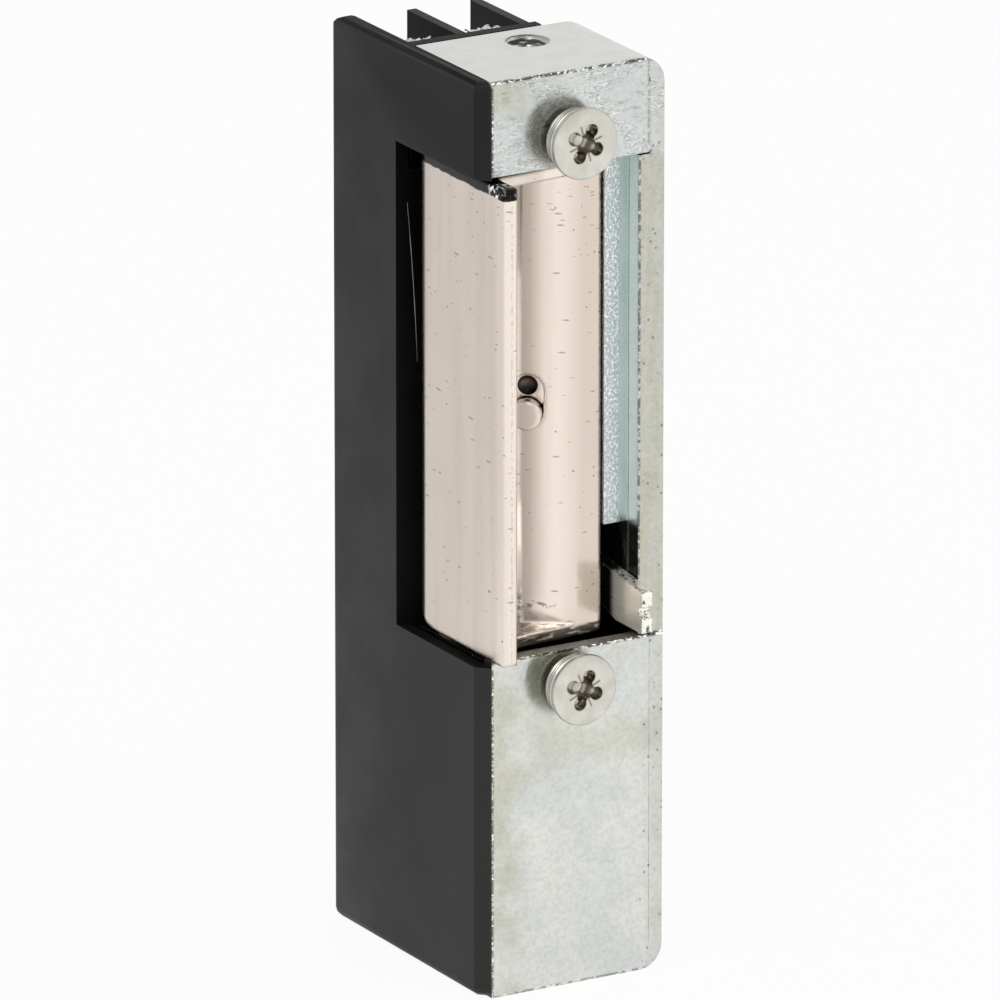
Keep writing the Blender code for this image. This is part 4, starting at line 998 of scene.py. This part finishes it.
def crossed(centre, along, turn, bar):
    return [wedge(centre, along, turn + quarter * math.pi / 2, **bar) for quarter in range(2)]


def shadeHollow(shape, middle, along, deep, out):
    # second finish on the faces between two depths along the axis and two distances from it
    for face in shape.faces:
        spot = face.calc_center_median() - middle
        down = spot.dot(along)
        away = (spot - along * down).length
        face.material_index = int(deep[0] < down < deep[1] and out[0] <= away < out[1])


threadShape = dict(flank=0.36, flatten=1.25)  # share of a turn from crest to root, and how far crests are cut


def threadRadius(root, outer, pitch, step):
    def reach(turn):
        phase = (step / pitch - turn / (2 * math.pi)) % 1.0
        crest = max(0.0, 1 - abs(phase - 0.5) / threadShape["flank"])
        return root + (outer - root) * min(1.0, crest * threadShape["flatten"])

    return reach


def threadTurns(start, end, stride, root, outer, pitch):
    profile, step = [], start
    while step < end:
        profile.append((step, threadRadius(root, outer, pitch, step)))
        step += stride
    return profile


def turnScrew(s, centre, length, collar=()):
    # head by shares of its radius, collar, then neck, thread and tip by shares of the shank's
    profile = [(step * mm, s.head * share) for step, share in s.crown] + list(collar)
    profile += [(step * mm, s.shank * share) for step, share in s.neck]
    profile += threadTurns(end=length - s.plain, **s.thread)
    profile += [(length - back * mm, s.shank * share) for back, share in s.tip]
    return lathe(profile, centre, s.along, s.segments)


mountScrew = dict(
    head=3.6 * mm,
    crown=(
        *((0, 0), (0, 0.55), (0, 0.93), (0.08, 0.985), (0.2, 1), (0.35, 1)),
        # coarse turns behind the head
        *((0.65, 0.86), (0.95, 0.95), (1.1, 0.95)),
        *((1.25, 0.81), (1.55, 0.90), (1.7, 0.90)),
        *((1.85, 0.77), (2.15, 0.86), (2.3, 0.86)),
    ),
    shank=1.5 * mm,
    neck=((2.7, 1.08),),
    thread=dict(start=3.0 * mm, stride=0.1 * mm, root=1.5 * mm, outer=1.9 * mm, pitch=0.7 * mm),
    plain=0.9 * mm,
    tip=((0.8, 1), (0, 0.7), (0, 0)),
    length=11.0 * mm,
    segments=56,
    recess=dict(span=3.9 * mm, width=1.1 * mm, depth=1.5 * mm, taper=0.5),
    tick=dict(span=3.7 * mm, width=0.11 * mm, depth=0.08 * mm, taper=0.98),
    lobe=dict(reach=1.4 * mm, radius=0.66 * mm, depth=1.1 * mm),
    hollow=dict(reach=0.0, radius=0.98 * mm, depth=1.6 * mm),
    lobeTaper=0.6,
    lobeSegments=20,
    # faces that get the recess's painted shade: depths along the axis and distances from it
    dull=dict(deep=metres(0.02, 1.55), out=metres(0.42, 2.2)),
    along=(0, 1, 0),
    places=dict(
        upper=(*metres(-0.15, -15.95, 86.3), -17),
        lower=(*metres(-0.15, -15.95, 31.0), -24),
    ),
)


def makeMountScrew(where):
    s = named(mountScrew)
    *centre, turn = s.places[where]
    centre, along, turn = Vector(centre), Vector(s.along), math.radians(turn)
    cutters = crossed(centre, along, turn, s.recess) + crossed(centre, along, turn + math.pi / 4, s.tick)
    for quarter in range(5):  # four round ends and the hollow in the middle
        reach, radius, depth = (s.lobe if quarter < 4 else s.hollow).values()
        side = Matrix.Rotation(turn + quarter * math.pi / 2, 3, along) @ along.orthogonal().normalized()
        cone = [(-proud, 0.0), (-proud, radius), (0.0, radius), (depth, radius * s.lobeTaper)]
        cone.append((depth + proud, 0.0))
        cutters.append(lathe(cone, centre + side * reach, along, s.lobeSegments))
    shape = carve(turnScrew(s, centre, s.length), cutters)
    shadeHollow(shape, centre, along, **s.dull)  # painted shade: the recess is darker than the head, apart from its middle
    piece = newPiece(f"mountScrew.{where}", shape, "screwZinc", stands=[f"mounting_screw_{where}"])
    piece.data.materials.append(finishes["recess"])


for where in mountScrew["places"]:
    makeMountScrew(where)
print("mounting screws made")

topThread = dict(
    centre=metres(1.25, -2.35, 0.0),
    along=(0, 0, 1),
    low=89.4 * mm,
    high=92.85 * mm,
    outer=2.24 * mm,
    inner=1.86 * mm,
    pitch=0.75 * mm,
    perTurn=8,
    plain=0.05 * mm,
    rootGap=0.06 * mm,
    wall=0.05 * mm,
    segments=56,
)


def makeTopThread():
    s = named(topThread)
    low, high, outer, pitch = s.low, s.high, s.outer, s.pitch
    start, end = low + s.plain, high - s.plain
    back = outer + s.wall
    turns = threadTurns(start, end, pitch / s.perTurn, outer - s.rootGap, s.inner, pitch)
    profile = [(low, outer), *turns, (high, outer), (high, back), (low, back)]
    shape = lathe(profile, s.centre, s.along, s.segments, closed=True)
    newPiece("topHoleThread", shape, "thread", slot="zinc_plate")


makeTopThread()

paleLine = dict(
    start=metres(-9.05, 76.8),
    end=metres(-7.95, 60.5),
    y=3.1 * mm,
    bow=0.12 * mm,
    width=0.12 * mm,
    rise=0.07 * mm,
    sunk=0.4,  # share of the rise that lies in the wall
    count=40,
    swell=(0.25, 0.6, 0.15),  # width at the ends, more in the middle, ripple
    ripples=31,
)


def makePaleLine():
    # thin bowed pale line along the window's inner wall
    s = named(paleLine)
    y, rise = s.y, s.rise
    ends, middle, ripple = s.swell
    shape = bmesh.new()
    rows = []
    for i in range(s.count + 1):
        t = i / s.count
        x, z = (a + (b - a) * t for a, b in zip(s.start, s.end))
        x += s.bow * math.sin(math.pi * t)
        half = s.width * (ends + middle * math.sin(math.pi * t) + ripple * math.sin(s.ripples * t)) / 2
        corners = ((x - half, y, z), (x, y - rise, z), (x + half, y, z), (x, y + rise * s.sunk, z))
        rows.append([shape.verts.new(corner) for corner in corners])
    joinRows(shape, rows)
    newPiece("mouldFlash", shape, "flashLine", slot="black_housing")


makePaleLine()

terminalScrew = dict(
    head=2.05 * mm,
    crown=((0, 0), (0.03, 0.5), (0.2, 0.8), (0.5, 0.95), (1.4, 0.95), (1.5, 0.92)),
    washer=dict(top=1.5 * mm, low=2.0 * mm, radius=2.1 * mm, notch=0.16 * mm, teeth=18),
    shank=1.3 * mm,
    neck=((2.0, 1),),
    thread=dict(start=2.1 * mm, stride=0.5 * mm / 6, root=1.04 * mm, outer=1.3 * mm, pitch=0.5 * mm),
    plain=0.5 * mm,
    tip=((0, 0.7), (0, 0)),
    length=7.2 * mm,
    segments=72,
    slot=dict(span=5.0 * mm, width=0.6 * mm, depth=0.8 * mm, taper=1.0),
    along=(0, 0, -1),
    places=dict(left=(*metres(-5.9, 6.15, 91.8), 25), right=(*metres(1.2, 6.15, 91.8), -40)),
)


def makeTerminalScrew(where):
    s = named(terminalScrew)
    *centre, turn = s.places[where]
    washer = named(s.washer)

    def serrated(angle):
        return washer.radius - washer.notch * (0.5 + 0.5 * math.cos(washer.teeth * angle))

    shape = turnScrew(s, centre, s.length, collar=[(washer.top, serrated), (washer.low, serrated)])
    shape = carve(shape, [wedge(centre, s.along, math.radians(turn), **s.slot)])
    newPiece(f"terminalScrew.{where}", shape, "screwZinc", stands=[f"terminal_screw_{where}"])


for where in terminalScrew["places"]:
    makeTerminalScrew(where)

sideScrew = dict(
    head=2.2 * mm,
    crown=((0, 0), (0, 0.9), (0.06, 0.97), (0.16, 1)),
    shank=1.2 * mm,
    neck=((1.2, 1.05),),
    thread=dict(start=1.3 * mm, stride=0.1 * mm, root=0.936 * mm, outer=1.2 * mm, pitch=0.6 * mm),
    plain=0.5 * mm,
    tip=((0.4, 0.7), (0, 0)),
    segments=48,
    recess=dict(span=2.6 * mm, width=0.6 * mm, depth=0.7 * mm, taper=0.45),
    along=(-1, 0, 0),
    places=dict(
        lower=(*metres(10.25, 11.65, 38.0), 20),
        upper=(*metres(10.25, 12.05, 74.0), 55),
    ),
)


def makeSideScrew(where):
    s = named(sideScrew)
    *centre, turn = s.places[where]
    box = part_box(f"housing_screw_{where}")
    shape = turnScrew(s, centre, box[1][0] - box[0][0])
    shape = carve(shape, crossed(centre, s.along, math.radians(turn), s.recess))
    newPiece(f"sideScrew.{where}", shape, "screwZinc", stands=[f"housing_screw_{where}"])


for where in sideScrew["places"]:
    makeSideScrew(where)
print("small screws made")

beads = {
    # wide and thick are halves, across the seam and out of it
    "landSeam.upper": dict(
        start=metres(8.65, -13.1, 83.6), end=metres(8.65, -13.1, 90.6), wide=0.17 * mm, thick=0.045 * mm
    ),
    "landSeam.lower": dict(
        start=metres(8.65, -13.1, 2.2), end=metres(8.65, -13.1, 34.4), wide=0.2 * mm, thick=0.05 * mm
    ),
    "stripSeam": dict(
        start=metres(7.4, -11.17, 37.1), end=metres(7.4, -11.17, 83.2), wide=0.05 * mm, thick=0.1 * mm,
        finish="strip",
    ),
}
beadShape = dict(count=60, sides=6, least=0.85, swell=0.15, first=1.7, second=0.63, offset=1)


def makeBead(name, start, end, wide, thick, finish="frameZinc"):
    # slightly uneven fill of a narrow seam
    s = named(beadShape)
    shape = bmesh.new()
    rows = []
    for i in range(s.count + 1):
        x, y, z = Vector(start).lerp(Vector(end), i / s.count)
        uneven = s.least + s.swell * math.sin(i * s.first) * math.sin(i * s.second + s.offset)
        ring = []
        for k in range(s.sides):
            turn = 2 * math.pi * k / s.sides
            spot = (x + wide * uneven * math.cos(turn), y + thick * uneven * math.sin(turn), z)
            ring.append(shape.verts.new(spot))
        rows.append(ring)
    joinRows(shape, rows)
    newPiece(name, shape, finish, slot="zinc_plate")


for name, bead in beads.items():
    makeBead(name, **bead)

dimple = dict(
    centre=metres(-2.101, -8.185, 59.75),
    along=(0.599, 0.8007, 0.0),
    plug=((0.03, 0.0), (0.03, 1.95), (0.8, 1.95), (0.8, 0.0)),
    dish=((-0.5, 0.0), (-0.5, 1.1), (0.0, 1.02), (0.3, 0.8), (0.55, 0.4), (0.6, 0.0)),
    dishHeight=60.25 * mm,
    pin=((-3, 0.0), (-3, 1.62), (5, 1.62), (5, 0.0)),
    pinHeight=57.55 * mm,
    segments=dict(plug=48, dish=32, pin=40),
    shade=dict(deep=metres(0.05, 5), out=(0.0, 1.02 * mm)),
)


def makeDimple():
    # plug in the slot above the hold-open pin, with a shallow dish, cut away round the pin
    s = named(dimple)
    x, y, height = s.centre
    along, middle = Vector(s.along), Vector((x, y, s.dishHeight))
    plug, *cutters = (
        lathe([metres(*row) for row in dimple[key]], (x, y, z), along, s.segments[key])
        for key, z in (("plug", height), ("dish", s.dishHeight), ("pin", s.pinHeight))
    )
    shape = carve(plug, cutters)
    shadeHollow(shape, middle, along, **s.shade)
    piece = newPiece("pinDimple", shape, "nickel", body="keeper", slot="nickel_keeper")
    piece.data.materials.append(finishes["dimple"])


makeDimple()

crumple = dict(
    half=1.75 * mm,
    cells=12,
    low=91.4 * mm,
    rise=0.55 * mm,
    thick=0.12 * mm,
    shrink=0.92,
    drift=(0.12 * mm, 5.7),  # how far sideways, and its wave
    waves=(12.9898, 4.1, 7.233, 1.3),  # first wave, its shift by place, second wave, its shift
    places=dict(left=metres(-5.5, 6.0), right=metres(1.6, 6.0)),
)


def makeCrumple(where):
    # crushed tinned strands on the terminal screw
    s = named(crumple)
    x, y = s.places[where]
    first, byPlace, second, shift = s.waves
    sideways, wave = s.drift
    shape = bmesh.new()
    bmesh.ops.create_grid(shape, x_segments=s.cells, y_segments=s.cells, size=s.half)
    for i, corner in enumerate(shape.verts):
        lift = 0.5 + 0.5 * math.sin(first * i + byPlace * x / mm) * math.sin(second * i + shift)
        drift = sideways * math.sin(wave * i)
        across, back = (v * s.shrink for v in corner.co.xy)
        corner.co = (x + across + drift, y + back - drift, s.low + s.rise * lift)
    bmesh.ops.solidify(shape, geom=shape.faces[:], thickness=s.thick)
    newPiece(f"terminalStrands.{where}", shape, "foil", slot="terminal_brass")


for where in crumple["places"]:
    makeCrumple(where)
print("small fittings made")

lipEnd = dict(
    # roundings from the flat's end towards the hub, and on the nose; start and reach along Y
    hub=dict(start=-4.2 * mm, reach=5.2 * mm, rise=2.0 * mm, left=-12 * mm, right=-2 * mm),
    nose=dict(start=-15.3 * mm, reach=-1.05 * mm, rise=0.9 * mm, left=-12 * mm, right=-6.5 * mm),
    bottom=34.7 * mm,
    steps=14,
    overrun=1.6,
    under=1 * mm,
)


def lipCutter(start, reach, rise, left, right):
    # what the rounding takes off below a quarter of an ellipse
    low, steps = lipEnd["bottom"], lipEnd["steps"]
    end, under = start + reach * lipEnd["overrun"], low - lipEnd["under"]
    outline = [(start, low)]
    for i in range(1, steps + 1):
        turn = math.pi / 2 * i / steps
        outline.append((start + reach * math.sin(turn), low + rise * (1 - math.cos(turn))))
    outline += [(end, low + rise), (end, under), (start, under)]
    shape = bmesh.new()
    sides = [[shape.verts.new((x, y, z)) for y, z in outline] for x in (left, right)]
    for corners in sides:
        shape.faces.new(corners)
    joinRings(shape, *sides)
    return shape


dressed = dict(weld=0.0015 * mm, flat=0.5, crease=30)


def dress(name):
    # the CAD shape with merged corners, joined flats and smooth curves
    s = named(dressed)
    shape = bmesh.new()
    shape.from_mesh(nodes[name].data)
    bmesh.ops.remove_doubles(shape, verts=shape.verts, dist=s.weld)
    if name == "keeper":
        shape = carve(shape, [lipCutter(**lipEnd["hub"]), lipCutter(**lipEnd["nose"])])
    flat = math.radians(s.flat)
    bmesh.ops.dissolve_limit(
        shape, angle_limit=flat, verts=shape.verts, edges=shape.edges, use_dissolve_boundaries=False
    )
    first, *others = name.split("_")
    pieceName = first + "".join(word.capitalize() for word in others) + ".skin"
    finish = finishOf.get(name, "steel")
    return newPiece(pieceName, shape, finish, body=bodyOf[name], stands=[name], crease=s.crease)


housingZones = dict(
    side=dict(turned=-0.9, leftOf=-10 * mm),
    chamfer=dict(turned=-0.3, leftOf=-8 * mm),
    fins=dict(above=84 * mm, behind=-1 * mm, rightOf=-10 * mm),
    inside=dict(rightOf=-10.1 * mm, low=30 * mm, high=83.4 * mm, before=15 * mm),
)


def paintHousing(piece):
    # darker copies of the plastic as painted shade: on the side, the chamfer, the fins and what shows through
    # the window
    mesh = piece.data
    index = {}
    for finish in ("deepPlastic", "sidePlastic", "finPlastic", "chamferPlastic"):
        index[finish] = len(mesh.materials)
        mesh.materials.append(finishes[finish])
    side, chamfer, fins, inside = housingZones.values()
    for face in mesh.polygons:
        x, y, z = face.center
        turned = face.normal.x
        if turned < side["turned"] and x < side["leftOf"]:
            face.material_index = index["sidePlastic"]
        elif side["turned"] <= turned < chamfer["turned"] and x < chamfer["leftOf"]:
            face.material_index = index["chamferPlastic"]
        if z > fins["above"] and y > fins["behind"] and x > fins["rightOf"]:
            face.material_index = index["finPlastic"]
        if x > inside["rightOf"] and inside["low"] < z < inside["high"] and y < inside["before"]:
            face.material_index = index["deepPlastic"]


for name in nodes:
    if not name.startswith(screwNodes):
        piece = dress(name)
        if name == "housing":
            paintHousing(piece)
print("dressed:", len(nodes))
